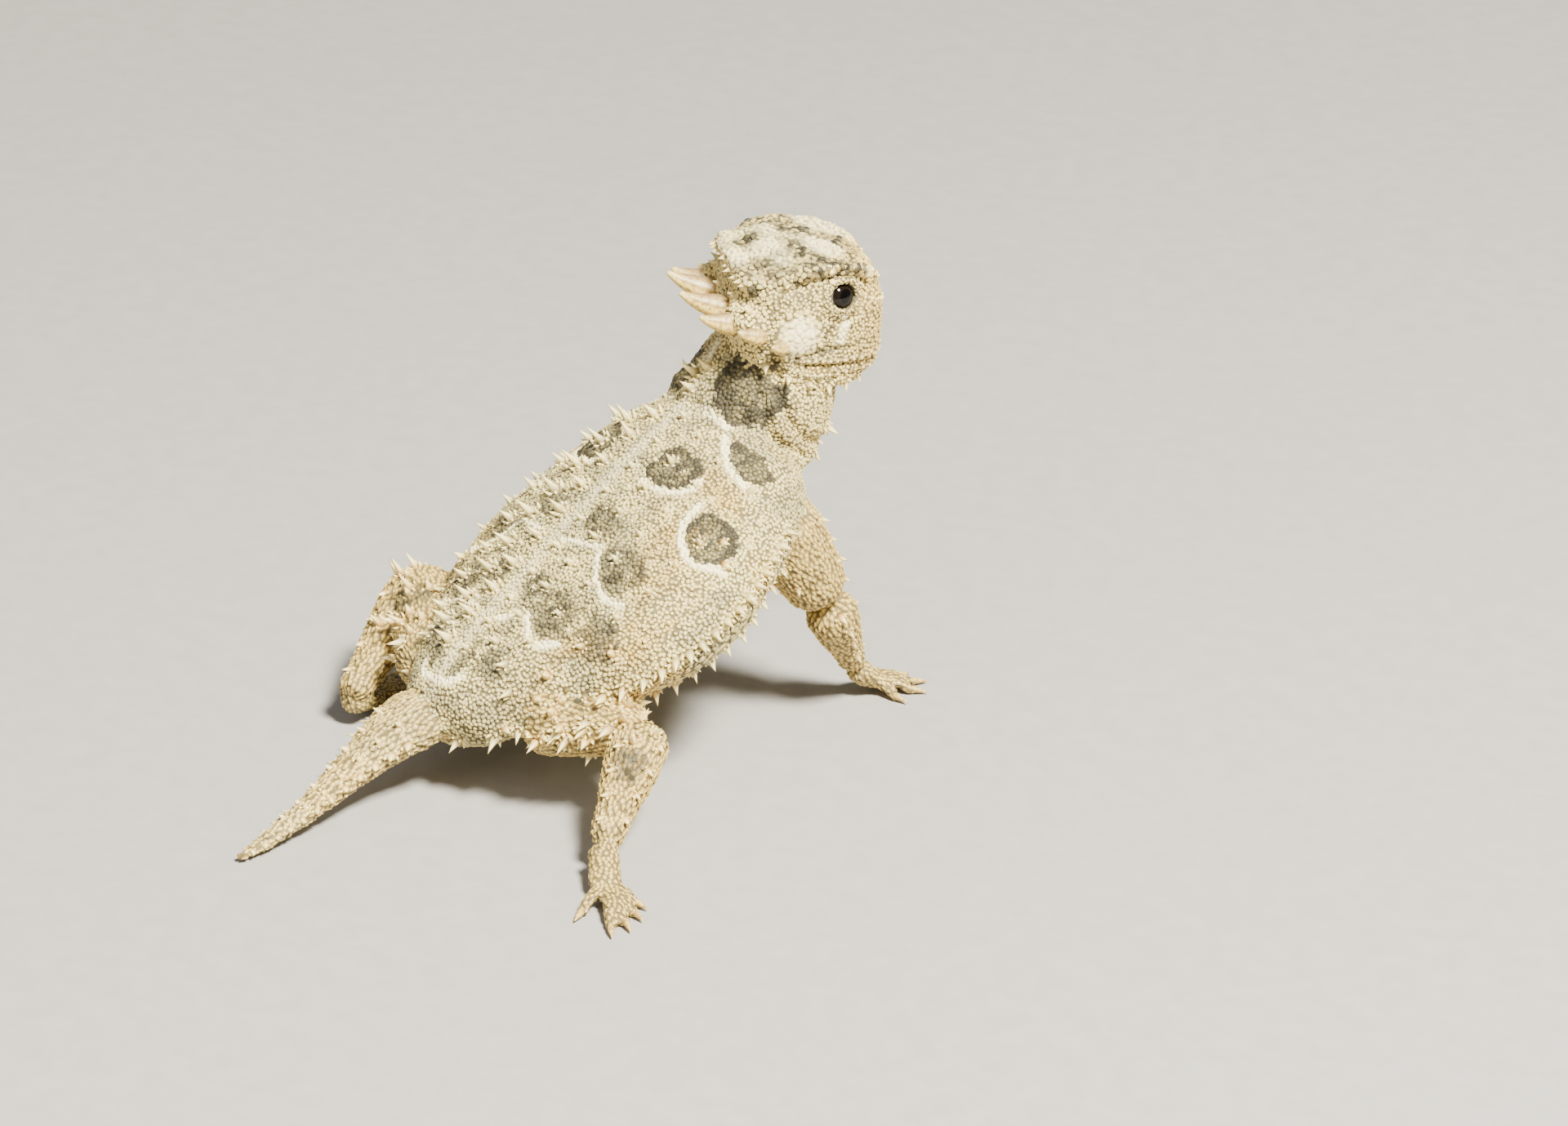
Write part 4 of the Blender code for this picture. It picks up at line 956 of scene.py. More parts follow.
def scattered(tries, seed):
    """Roots spread over the skin, none nearer to another than its region's spacing."""
    rng = np.random.default_rng(seed)
    corners, at, out = corner_table(), coords(skin), normals_of(skin)
    a, b, c = (at[corners[:, k]] for k in range(3))
    area = np.linalg.norm(np.cross(b - a, c - a), axis=1) / 2
    picked = rng.choice(len(area), tries, p=area / area.sum())
    u, v = rng.random(tries), rng.random(tries)
    u, v = np.where(u + v > 1, 1 - u, u), np.where(u + v > 1, 1 - v, v)
    weights = np.stack((1 - u - v, u, v), axis=1)
    spots = (at[corners[picked]] * weights[:, :, None]).sum(axis=1)
    normal = unit((out[corners[picked]] * weights[:, :, None]).sum(axis=1))
    which, lie = regions_of(spots)
    gap = spacing_at(spots, which)
    cells, kept = {}, []
    for row in np.flatnonzero(spots[:, 2] > LOWEST_ROOT):
        x, y, z = spots[row]
        i, j, k = (int(value // SEARCH_CELL) for value in (x, y, z))
        limit = gap[row] ** 2
        clear = True
        for di, dj, dk in product((-1, 0, 1), repeat=3):
            for ox, oy, oz in cells.get((i + di, j + dj, k + dk), ()):
                if (ox - x) ** 2 + (oy - y) ** 2 + (oz - z) ** 2 < limit:
                    clear = False
                    break
            if not clear:
                break
        if clear:
            cells.setdefault((i, j, k), []).append((x, y, z))
            kept.append(row)
    lie = lie - (lie * normal).sum(axis=1)[:, None] * normal
    return Roots(spots[kept], normal[kept], unit(lie)[kept], which[kept], gap[kept])


roots = scattered(TRIES, 21)
ear_gap = gap_to(mirrored(local(HEAD_BACK, roots.places)), ear_slit)
outside = (lid_gap(roots.places) > 0.1) & (ear_gap > 0.3)
roots = Roots(*(field[outside] for field in roots))
print("roots:", len(roots.places),
      {name: int((roots.kinds == number).sum()) for name, number in REGIONS.items()})

# %% [markdown]
# ## The shapes of the scales
# Five shapes cover the animal: a low granule, a flat plate, a keeled scale with its point toward
# the tail, a small prickle and a ribbed thorn. Each is grown once from a many-sided face that is
# extruded level by level, in its own measure: +Y is the way it lies, +Z is out of the skin, and
# z = 0 is skin level. They are repeated many times, so each has only a few dozen faces.

# %% Model the scale shapes


def shape_arrays(bm):
    """A closed shape as arrays of points and triangles, which its repeats are built from."""
    bmesh.ops.recalc_face_normals(bm, faces=bm.faces)
    bmesh.ops.triangulate(bm, faces=bm.faces)
    bm.verts.index_update()
    points = np.array([vert.co[:] for vert in bm.verts])
    faces = np.array([[vert.index for vert in face.verts] for face in bm.faces])
    bm.free()
    return points, faces


ROOT_DEPTH = -0.35


def stacked(sides, levels, rise=0.0):
    """A many-sided face extruded to each height and width, its top then poked up to a peak."""
    bm = bmesh.new()
    bmesh.ops.create_circle(
        bm, cap_ends=True, segments=sides, radius=1.0, matrix=Matrix.Translation((0, 0, ROOT_DEPTH)))
    top = bm.faces[:][0]
    for step, (height, width) in enumerate(levels):
        made = bmesh.ops.extrude_face_region(bm, geom=[top])
        if step:
            bmesh.ops.delete(bm, geom=[top], context="FACES_ONLY")
        top = next(item for item in made["geom"] if isinstance(item, bmesh.types.BMFace))
        for vert in top.verts:
            flat = Vector((vert.co.x, vert.co.y, 0)).normalized() * width
            vert.co = Vector((flat.x, flat.y, height))
    if rise:
        poked = bmesh.ops.poke(bm, faces=[top])
        poked["verts"][0].co.z += rise
    return bm


def keeled(bm, point=1.3, lift=0.35):
    """Draws the rear of a low shape out into a raised point."""
    for vert in bm.verts:
        if vert.co.z > -0.3 and vert.co.y > 0.2:
            vert.co.y *= 1.0 + (point - 1.0) * vert.co.y
            vert.co.z += lift * vert.co.y * (1.0 - abs(vert.co.x))
    peak = max(bm.verts, key=lambda vert: vert.co.z - abs(vert.co.x))
    peak.co.z += lift * 0.6
    return bm


def ribbed(bm, sides, depth):
    """Draws every second edge of a many-sided shape in, which leaves ribs between."""
    for vert in bm.verts:
        if round(math.atan2(vert.co.y, vert.co.x) / math.tau * sides) % 2 and 0.0 < vert.co.z < 0.9:
            vert.co.x *= 1.0 - depth
            vert.co.y *= 1.0 - depth
    return bm


GRANULE = shape_arrays(stacked(6, ((0.0, 1.0), (0.58, 0.76)), 0.36))
PLATE = shape_arrays(stacked(6, ((0.1, 1.0), (0.62, 0.84), (0.86, 0.55)), 0.08))
KEELED = shape_arrays(keeled(stacked(6, ((0.1, 1.0), (0.4, 0.66)), 0.3)))
PRICKLE = shape_arrays(stacked(6, ((0.05, 0.92), (0.45, 0.5)), 0.55))
THORN_LEVELS = ((0.0, 0.92), (0.26, 0.62), (0.62, 0.3), (1.0, 0.04))
THORN = shape_arrays(ribbed(stacked(8, THORN_LEVELS), 8, 0.16))
for name, shape in (("granule", GRANULE), ("plate", PLATE), ("keeled scale", KEELED),
                    ("prickle", PRICKLE), ("thorn", THORN)):
    print(name, len(shape[1]), "triangles")

# %% [markdown]
# ## Repeating a shape
# A set of roots and sizes turns one shape into one joined mesh with array arithmetic, which is far
# quicker than thousands of copies. Each repeat takes its markings from its root. Its patch of the
# OFBake map lies at the root's place on a flat unwrap of the body part, so that baked colours
# stay apart.

# %% Join many repeats
PATCH = 0.0015
LOWEST_SCALE = 0.02
chance = np.random.default_rng(5)


def unwrapped(frame, low, high):
    """A flat map of a round body part: forward along u, and the angle round it along v."""
    u = (frame[:, 1] - low) / (high - low)
    v = np.arctan2(frame[:, 2], frame[:, 0]) / math.tau + 0.5
    return np.stack((np.clip(u, 0, 1), v), axis=1) * 0.99 + 0.005


def leg_charts(places):
    """Roots on the legs unwrapped leg by leg, each on a quarter of the map."""
    charts = np.zeros((len(places), 2))
    courses = [[leg.root, leg.bend, leg.end, leg.palm] for leg in LEGS.values()]
    for quarter, leg in enumerate(LEGS.values()):
        corner = np.array((quarter % 2, quarter // 2)) * 0.5
        line = [leg.root.lerp(leg.bend, k / 10) for k in range(10)]
        line += [leg.bend.lerp(leg.end, k / 10) for k in range(20)]
        which = to_line(places, line)[1]
        other = np.min([to_line(places, course)[0] for number, course in enumerate(courses)
                        if number != quarter], axis=0)
        mine = to_line(places, courses[quarter])[0] < other
        offset = places - np.array([line[k][:] for k in which])
        around = np.arctan2(offset[:, 2], offset[:, 0]) / math.tau + 0.5
        flat = np.stack((which / (len(line) - 1), around), axis=1)
        charts[mine] = (flat * 0.49 + corner)[mine]
    return charts


def chart_of(part, places):
    """Each root's place on the unwrap of its body part."""
    if part in ("torso", "neck"):
        return unwrapped(local(TRUNK_BACK, places), -4.0, 44.0)
    if part == "head":
        return unwrapped(local(HEAD_BACK, places), -13.0, 9.0)
    if part == "tail":
        return unwrapped((places - (-2.4, 0, 2.0)) * (1, 1, 1.5), -3.0, 24.0)
    return leg_charts(places)


def repeated(name, part, shape, at, out, lie, sizes, marks, spin=None, uneven=0.12):
    """One joined mesh of a shape at many roots, its outline a little different at each.

    The sizes are half the width, half the length and the height, and spin turns the shape about
    the way out of the skin.
    """
    points, faces = shape
    count = len(at)
    phase = chance.random((2, count, 1)) * math.tau
    angle = np.arctan2(points[:, 1], points[:, 0])[None]
    bulge = 1 + uneven * (np.cos(2 * angle + phase[0]) + 0.7 * np.cos(3 * angle + phase[1]))
    side = unit(np.cross(lie, out))
    if spin is not None:
        lie, side = (
            lie * np.cos(spin)[:, None] + side * np.sin(spin)[:, None],
            side * np.cos(spin)[:, None] - lie * np.sin(spin)[:, None])
    axes = np.stack((side, lie, out), axis=1)
    scaled = points[None] * sizes[:, None] * np.stack((bulge, bulge, np.ones_like(bulge)), axis=2)
    verts = at[:, None] + np.einsum("nij,njk->nik", scaled, axes)
    verts[:, :, 2] = np.maximum(verts[:, :, 2], LOWEST_SCALE)
    corners = (faces[None] + (np.arange(count) * len(points))[:, None, None]).reshape(-1)
    mesh = bpy.data.meshes.new(name)
    mesh.vertices.add(count * len(points))
    mesh.vertices.foreach_set("co", verts.astype(np.float32).ravel())
    mesh.loops.add(len(corners))
    mesh.loops.foreach_set("vertex_index", corners.astype(np.int32))
    mesh.polygons.add(len(corners) // 3)
    mesh.polygons.foreach_set("loop_start", np.arange(0, len(corners), 3, dtype=np.int32))
    mesh.update(calc_edges=True)
    add_marks(mesh, np.repeat(marks, len(points), axis=0))
    rise = mesh.attributes.new("rise", "FLOAT", "POINT")
    rise.data.foreach_set("value", np.tile(points[:, 2], count).astype(np.float32))
    flat = points[:, :2] / np.abs(points[:, :2]).max()
    patches = chart_of(part, at)[:, None] + flat[None] * PATCH
    layer = mesh.uv_layers.new(name="OFBake")
    layer.data.foreach_set("uv", patches.reshape(-1, 2)[corners].astype(np.float32).ravel())
    made = bpy.data.objects.new(name, mesh)
    bpy.context.scene.collection.objects.link(made)
    return made


def add_marks(mesh, marks):
    """Stores the four markings with each vertex."""
    layer = mesh.attributes.new("marks", "FLOAT_COLOR", "POINT")
    layer.data.foreach_set("color", marks.astype(np.float32).ravel())


coat = []
print("patches of", PATCH * 2, "on the unwrap")

# %% [markdown]
# ## Granules and plates
# The back has rough granules of slightly uneven size. The belly's scales are flat and smooth, the
# crown's are rough plates, and the tail's and limbs' are keeled with their points laid back.

# %% Cover each region
SIZE_CHANCE, TONE_CHANCE = (0.3, 0.3, 0.7), 0.7
REAR_OF_CROWN = -4.2


def cover(name, part, mask, shape, wide, long, high, turn=0.5, tilt=0.0):
    """Scales of one shape on some of the roots, each a little unlike the next.

    Half width, half length and height are shares of the spacing there. Turn and tilt say how
    freely a scale is turned about, and leant out of line.
    """
    chosen = Roots(*(field[mask] for field in roots))
    count = len(chosen.places)
    jitter = 1.0 + (chance.random((count, 3)) - 0.5) * SIZE_CHANCE
    sizes = chosen.spacing[:, None] * np.array((wide, long, high)) * jitter
    out = unit(chosen.normals + (chance.random((count, 3)) - 0.5) * tilt)
    lie = unit(chosen.lies - (chosen.lies * out).sum(axis=1)[:, None] * out)
    tones = markings(chosen.places, chosen.kinds)
    tones[:, 3] = np.clip(tones[:, 3] + (chance.random(count) - 0.5) * TONE_CHANCE, 0, 1)
    spin = (chance.random(count) - 0.5) * turn
    coat.append(repeated(name, part, shape, chosen.places, out, lie, sizes, tones, spin))
    print(name, count, "scales")


trunk, head = local(TRUNK_BACK, roots.places), local(HEAD_BACK, roots.places)
on = {name: roots.kinds == number for name, number in REGIONS.items()}
belly = on["torso"] & (trunk[:, 2] < BELLY_LEVEL)
crown = on["head"] & ((head[:, 2] > CROWN_LEVEL) | (head[:, 1] < REAR_OF_CROWN))
smooth_cheek = on["head"] & (from_cheek(head) < CHEEK_RADIUS)
face = on["head"] & ~crown & ~smooth_cheek
upper, on_left = on["torso"] & ~belly, trunk[:, 0] < 0
ROUGH = {"wide": 0.84, "long": 0.9, "high": 0.6, "turn": 3.0, "tilt": 0.3}
LAID_BACK = {"wide": 0.84, "long": 0.94, "high": 0.6, "tilt": 0.1}
cover("granules_right", "torso", upper & ~on_left, GRANULE, **ROUGH)
cover("granules_left", "torso", upper & on_left, GRANULE, **ROUGH)
cover("scales_belly", "torso", belly, PLATE, wide=0.7, long=0.74, high=0.2, turn=0.4)
cover("granules_neck", "neck", on["neck"], GRANULE, **ROUGH)
cover("plates_crown", "head", crown, PLATE, **ROUGH)
cover("scales_cheek", "head", smooth_cheek, PLATE, wide=0.84, long=0.86, high=0.3, turn=3.0)
cover("granules_face", "head", face, GRANULE, wide=0.84, long=0.88, high=0.5, turn=3.0, tilt=0.2)
cover("keeled_tail", "tail", on["tail"], KEELED, turn=0.2, **LAID_BACK)
cover("keeled_limbs", "limb", on["limb"], KEELED, turn=0.3, **LAID_BACK)
cover("scales_toes", "foot", on["foot"], KEELED, wide=0.8, long=0.88, high=0.4, turn=0.2)

# %% [markdown]
# ## Thorns
# A horned lizard carries enlarged spines: rows along the back, a double fringe along each flank,
# clusters on the nape, rows under the jaw and throat, and rows along tail and limbs. The main rows
# stand where the solids have them, with smaller ones between, and each thorn of body, neck, head,
# tail and legs rises from a rosette of small leaning scales. In the photograph the upper rows
# stand low on the animal's right side, so they are shorter there.

# %% Gather the thorns
Thorn = namedtuple("Thorn", "part at way length width")
thorns = []
tree = skin_tree()
lots = random.Random(3)

# A row: its angle down from the middle of the back, where it starts, ends and how far it steps
# forward, the length and width of its thorns, and how far they lean toward the tail
BACK_ROWS = (
    (14, 3.0, 31.5, 2.9, 1.75, 1.05, 0.15), (36, 4.6, 30.5, 2.9, 1.95, 1.1, 0.15),
    (55, 6.0, 29.0, 3.1, 1.5, 1.0, 0.15), (72, 8.0, 27.0, 3.1, 1.0, 0.9, 0.15))
FRINGE_ROWS = ((92, 6.5, 28.0, 1.35, 1.75, 0.95, 0.25), (103, 7.2, 26.5, 1.6, 1.15, 0.85, 0.25))
# Side, then the way from the middle of the neck out, behind and up, and the length
NAPE_SPINES = (
    (-1, 0.25, 1.0, 0.9, 2.0), (1, 0.25, 1.0, 0.9, 2.0), (-1, 0.5, 0.9, 0.55, 1.8),
    (1, 0.5, 0.9, 0.55, 1.8), (-1, 0.8, 0.7, 0.3, 1.3), (1, 0.8, 0.7, 0.3, 1.3),
    (-1, 0.35, 1.0, 0.3, 1.6), (1, 0.35, 1.0, 0.3, 1.6), (-1, 1.0, 0.3, 0.1, 1.2),
    (1, 1.0, 0.3, 0.1, 1.2))
THROAT_LEVELS = (-0.8, -0.55, -0.3)
CREST_SPINES = 6
# Angle, first and last share of the tail's length, count and length
TAIL_ROWS = ((84, 0.2, 0.9, 12, 1.2), (38, 0.2, 0.7, 7, 1.0))
LIMB_SPINE = 0.85
# The ways, out, behind and up, in which two rows leave each length of a leg
UPPER_EDGES = {
    "fore": ((0.5, 1.0, 0.3), (0.6, -1.0, 0.2)), "hind": ((0.3, 0.6, 0.9), (-0.2, 0.9, -0.1))}
LOWER_EDGES = {
    "fore": ((1.0, 0.3, 0.3), (0.1, -1.0, 0.3)), "hind": ((1.0, -0.3, 0.4), (0.2, 1.0, 0.5))}
# Share of the thigh's length, the way out, behind and up, and the length
KNEE_SPINES = (
    (0.3, 0.0, 0.3, 1.0, 1.2), (0.45, 0.1, 0.9, 0.5, 1.6), (0.5, 0.3, -0.2, 1.0, 1.3),
    (0.6, 0.0, 1.0, 0.1, 1.8), (0.65, 0.2, 0.5, 0.9, 1.7), (0.75, 0.1, 1.0, -0.2, 1.6),
    (0.8, 0.5, 0.1, 1.0, 1.5), (0.9, 0.4, 0.8, 0.6, 1.9), (0.95, 0.8, 0.3, 0.7, 1.6),
    (0.98, 0.7, 0.8, 0.1, 1.5), (0.92, 0.2, -0.5, 1.0, 1.2), (0.4, 0.0, 1.0, -0.3, 1.6))
JAW_SPINES = (
    ((6.2, -3.8, -3.6), 1.2), ((6.0, -1.9, -4.6), 1.2), ((5.6, 0.0, -5.3), 1.1),
    ((5.0, 1.8, -5.8), 1.0), ((4.2, 3.5, -6.0), 0.9), ((3.2, 5.1, -6.0), 0.8))
CROWN_SPINES = (
    ((0.0, -7.4, 1.4), 0.9), ((3.2, -7.2, 1.8), 0.9), ((5.8, -5.8, 1.4), 0.9),
    ((5.9, -2.8, 3.6), 0.8), ((5.6, 0.9, 4.5), 0.55))
SMALL_ROWS = (
    (25, 4.4, 30.8, 2.9, 0.55, 0.7, 0.1), (46, 6.4, 29.5, 3.0, 0.5, 0.65, 0.1),
    (64, 8.4, 28.0, 3.1, 0.4, 0.6, 0.1), (82, 9.0, 27.0, 2.4, 0.6, 0.65, 0.2))
# Angle down from the middle of the back, forward from the hips, and length
RUMP_SPINES = (
    (100, 5.0, 1.5), (98, 3.6, 1.6), (96, 2.2, 1.6), (94, 0.8, 1.5), (94, -0.8, 1.4), (96, -2.4, 1.2),
    (100, 2.4, 1.7), (96, 4.2, 1.8), (70, 2.0, 1.5), (55, 3.4, 1.4), (112, 3.4, 1.3))
# On the right side, rows less than so many degrees down have this share of their length
LOWERED, LOWERED_ABOVE = 0.6, 60
# Rows of blunt scales that scallop the face: the brow, the snout's edge, and the two lips
SCALLOPS = (
    (BROW, 15, 0.26), (((4.3, 5.2, 1.6), (3.0, 7.0, 1.2), (1.2, 7.9, 1.0)), 5, 0.34),
    (((6.0, -0.4, -3.1), (5.3, 2.2, -3.4), (4.1, 5.2, -3.5), (1.7, 7.8, -3.6)), 13, 0.24),
    (((5.9, -0.4, -4.4), (5.2, 2.2, -4.7), (4.0, 5.2, -4.7), (1.7, 7.4, -4.7)), 12, 0.26))


def leaned(normal, lean, share):
    """A thorn's heading: out of the skin, laid over by a share toward a direction."""
    return (normal * (1.0 - share) + lean * share).normalized()


def outward_hit(start, way):
    """Where a line from inside the body leaves the skin, and the way out there."""
    at, normal = tree.ray_cast(start, way)[:2]
    if at is None:
        at, normal = nearest(start)
    return at, normal if normal.dot(way) > 0 else -normal


def add_thorn(part, at, way, length, width):
    """Notes one thorn, a little longer or shorter, wider or slimmer than asked."""
    longer, wider = lots.uniform(0.82, 1.14), lots.uniform(0.9, 1.1)
    thorns.append(Thorn(part, at, way, length * longer, width * wider))


def nearest(place):
    """The nearest point of the skin, and the way out there."""
    return tree.find_nearest(place)[:2]


def down_from_top(side, angle):
    """The way out to a side, so many degrees down from straight up."""
    return Vector((side * math.sin(math.radians(angle)), 0, math.cos(math.radians(angle))))


turn = TRUNK_PLACE.to_3x3()
back = turn @ Vector((0, 1, 0))
for side in (-1, 1):
    for angle, first, last, step, length, width, share in BACK_ROWS + FRINGE_ROWS + SMALL_ROWS:
        way = turn @ down_from_top(side, angle)
        lowered = LOWERED if side < 0 and angle < LOWERED_ABOVE else 1.0
        forward = first
        while forward <= last:
            at, normal = outward_hit(TRUNK_PLACE @ Vector((0, -forward, -0.6)), way)
            lean = leaned(normal, back, share)
            add_thorn("torso", at, lean, length * lowered, width * (0.4 + 0.6 * lowered))
            forward += step * lots.uniform(0.9, 1.1)
    for angle, forward, length in RUMP_SPINES:
        way = turn @ down_from_top(side, angle)
        at, normal = outward_hit(TRUNK_PLACE @ Vector((0, -forward, -0.4)), way)
        add_thorn("torso", at, leaned(normal, back, 0.45), length, 0.95)
    for level in THROAT_LEVELS:
        at, normal = outward_hit(NECK_MIDDLE, Vector((side * 0.75, -0.66, level)).normalized())
        add_thorn("neck", at, leaned(normal, Vector((0, 0.2, -1.0)), 0.25), 1.15, 0.85)
    for angle, first, last, count, length in TAIL_ROWS:
        for k in range(count):
            share = first + (last - first) * k / (count - 1)
            size = length * (1.0 - 0.55 * share)
            start = smooth_through([station.centre for station in TAIL], share)
            at, normal = outward_hit(start, down_from_top(side, angle))
            lean = leaned(normal, Vector((-0.15, 1.0, 0.0)), 0.35)
            add_thorn("tail", at, lean, size, 0.5 + 0.4 * size)
    for spot, length in JAW_SPINES:
        at, normal = nearest(on_head(side, *spot))
        way = head_turn @ Vector((side * 0.8, 0.5, -0.35))
        add_thorn("head", at, leaned(normal, way, 0.4), length, 0.8)
    for spot, length in CROWN_SPINES:
        at, normal = nearest(on_head(side, *spot))
        way = (head_turn @ Vector((side * 0.4, 1.0, 0.5))).normalized()
        add_thorn("head", at, leaned(normal, way, 0.5), length, 0.9)
    for line, count, length in SCALLOPS:
        for place in along([on_head(side, *spot) for spot in line], count):
            at, normal = nearest(place)
            lean = leaned(normal, head_turn @ Vector((0, 0.6, 0.3)), 0.2)
            add_thorn("scallop", at, lean, length, 0.62)
    for k in range(CREST_SPINES):
        at, normal = nearest(on_head(side, 0.5 + k * 1.0, -7.4, 3.4 - k * 0.16))
        add_thorn("head", at, leaned(normal, head_turn @ Vector((0, 1.0, 0.4)), 0.3), 0.75, 0.7)
for side, out, behind, up, length in NAPE_SPINES:
    at, normal = outward_hit(NECK_MIDDLE, Vector((side * out, behind, up)).normalized())
    if within(np.array([at]), NECK_SPOTS)[0] > 1.05:
        add_thorn("neck", at, leaned(normal, Vector((0, 0.6, 0.8)), 0.2), length, 0.95)
for name, leg in LEGS.items():
    kind = name.split("_")[0]
    for first, last, edges in (
            (leg.root, leg.bend, UPPER_EDGES[kind]), (leg.bend, leg.end, LOWER_EDGES[kind])):
        lie = (last - first).normalized()
        for edge in edges:
            way = Vector((leg.side * edge[0], edge[1], edge[2])).normalized()
            for share in (0.2, 0.4, 0.6, 0.8):
                at, normal = outward_hit(first.lerp(last, share), way)
                add_thorn("limb", at, leaned(normal, lie, 0.45), LIMB_SPINE, 0.8)
    if kind == "hind":
        for share, out, behind, up, length in KNEE_SPINES:
            way = Vector((leg.side * out, behind, up)).normalized()
            at, normal = outward_hit(leg.root.lerp(leg.bend, share), way)
            add_thorn("limb", at, leaned(normal, Vector((leg.side * 0.4, 0.6, 0.4)), 0.3), length, 0.95)
print("thorns:", len(thorns))

# %% Build the thorns and their rosettes
# A direction that no thorn has, for finding one across it
ASKEW = np.array((0.31, 0.2, 0.93))
ROSETTE_HEIGHT = 0.36


def build_thorns(name, part, chosen, ring):
    """The chosen thorns as one piece, and a ring of small leaning ones round each as another."""
    at = np.array([t.at[:] for t in chosen])
    out = unit(np.array([t.way[:] for t in chosen]))
    lie = unit(np.cross(out, ASKEW))
    wide = np.array([t.width for t in chosen])
    length = np.array([t.length for t in chosen])
    tones = markings(at, np.full(len(at), REGIONS[part]))
    tones[:, 0] *= 0.5
    sizes = np.stack((wide * 0.5, wide * 0.5, length), axis=1)
    spin = chance.random(len(at)) * 6.0
    coat.append(repeated("thorns_" + name, part, THORN, at, out, lie, sizes, tones, spin))
    if not ring:
        return
    feet, ways, spread, shades = [], [], [], []
    for row, thorn in enumerate(chosen):
        across = Vector(lie[row])
        other = Vector(out[row]).cross(across)
        for k in range(ring):
            turn_by = math.tau * (k + lots.uniform(-0.25, 0.25)) / ring
            aim = across * math.cos(turn_by) + other * math.sin(turn_by)
            spot, normal = nearest(thorn.at + aim * thorn.width * 0.56)
            feet.append(spot[:])
            ways.append((normal * 0.75 + aim * 0.5 + thorn.way * 0.4).normalized()[:])
            half_width = thorn.width * lots.uniform(0.2, 0.27)
            height = thorn.length * ROSETTE_HEIGHT * lots.uniform(0.6, 1.3)
            spread.append((half_width, half_width, max(height, half_width * 1.2)))
            shades.append(tones[row])
    feet, ways, spread, shades = (np.array(values) for values in (feet, ways, spread, shades))
    lies = unit(np.cross(ways, ASKEW))
    coat.append(repeated("rosettes_" + name, part, PRICKLE, feet, ways, lies, spread, shades))


for name, part, ring in (("back", "torso", 7), ("neck", "neck", 7), ("head", "head", 5),
                         ("tail", "tail", 5), ("limbs", "limb", 4)):
    build_thorns(name, part, [t for t in thorns if t.part == part], ring)
build_thorns("face", "head", [t for t in thorns if t.part == "scallop"], 0)
print("coat pieces:", len(coat), "with", sum(len(piece.data.polygons) for piece in coat),
      "triangles")

# %% [markdown]
# ## Horns
# The crown of horns gives the animal its name: two occipital horns and three temple horns a side.
# Each is a cone of keratin over bone, a little upturned, with fine lengthwise ribs and growth rings
# near its root. They keep the places, headings and lengths of the solids that they replace.

# %% Grow the horns
RIBS, RIB_HEIGHT, RING_TURN, RING_HEIGHT, STREAKS = 9, 0.035, 46, 0.03, 5
# Root on the skull, the way out, behind and up, length, and width at the root
HORNS = (
    ("horn_occipital", (2.1, -7.2, -0.2), 0.1, 1.0, 0.22, 4.3, 2.2),
    ("horn_temporal_rear", (4.5, -6.8, -0.3), 0.22, 1.0, 0.14, 2.9, 1.8),
    ("horn_temporal_middle", (6.3, -5.0, -0.5), 0.35, 1.0, 0.2, 1.9, 1.45),
    ("horn_temporal_front", (7.0, -3.0, -1.6), 0.9, 0.8, 0.2, 1.7, 1.2))
horns = []
for side, side_name in ((-1, "right"), (1, "left")):
    for name, spot, out, behind, up, length, width in HORNS:
        at, normal = nearest(on_head(side, *spot))
        way = (head_turn @ Vector((side * out, behind, up))).normalized()
        rise = head_turn @ Vector((0, 0, 1))
        rows = (
            (at - way * 1.0, width * 0.55), (at + way * length * 0.1, width * 0.5),
            (at + way * length * 0.4 + rise * length * 0.02, width * 0.4),
            (at + way * length * 0.72 + rise * length * 0.07, width * 0.24),
            (at + way * length + rise * length * 0.16, width * 0.08))
        bm, _, shares = tube(round_stations(*rows), 24, 40)
        grown = []
        for vert, share in zip(bm.verts, shares):
            middle = smooth_through([row[0] for row in rows], share)
            offset = vert.co - middle
            upper = offset.dot(rise) / max(offset.length, 1e-6)
            angle = math.atan2(offset.dot(rise), offset.dot(way.cross(rise)))
            ribs = RIB_HEIGHT * math.sin(angle * RIBS + share * 3)
            rings = RING_HEIGHT * math.sin(share * RING_TURN) * max(0.0, 1.0 - share * 1.4)
            vert.co = middle + offset * (1.0 + ribs + rings)
            grown.append((upper, share, 0.0, 0.5 + 0.5 * math.sin(angle * STREAKS)))
        body = finished(bm, f"keratin_{name}_{side_name}")
        add_marks(body.data, np.array(grown))
        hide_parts(f"{name}_{side_name}")
        horns.append(body)
print("horns:", len(horns))

# %% [markdown]
# ## Eyes and claws
# The eyes are dark and wet: a large black pupil in a dark brown iris, and grey white behind it.
# Each is a fine ball at the middle of the solid eye that it replaces. The claws are short curved
# cones, one on each toe, drawn as small tubes and joined.

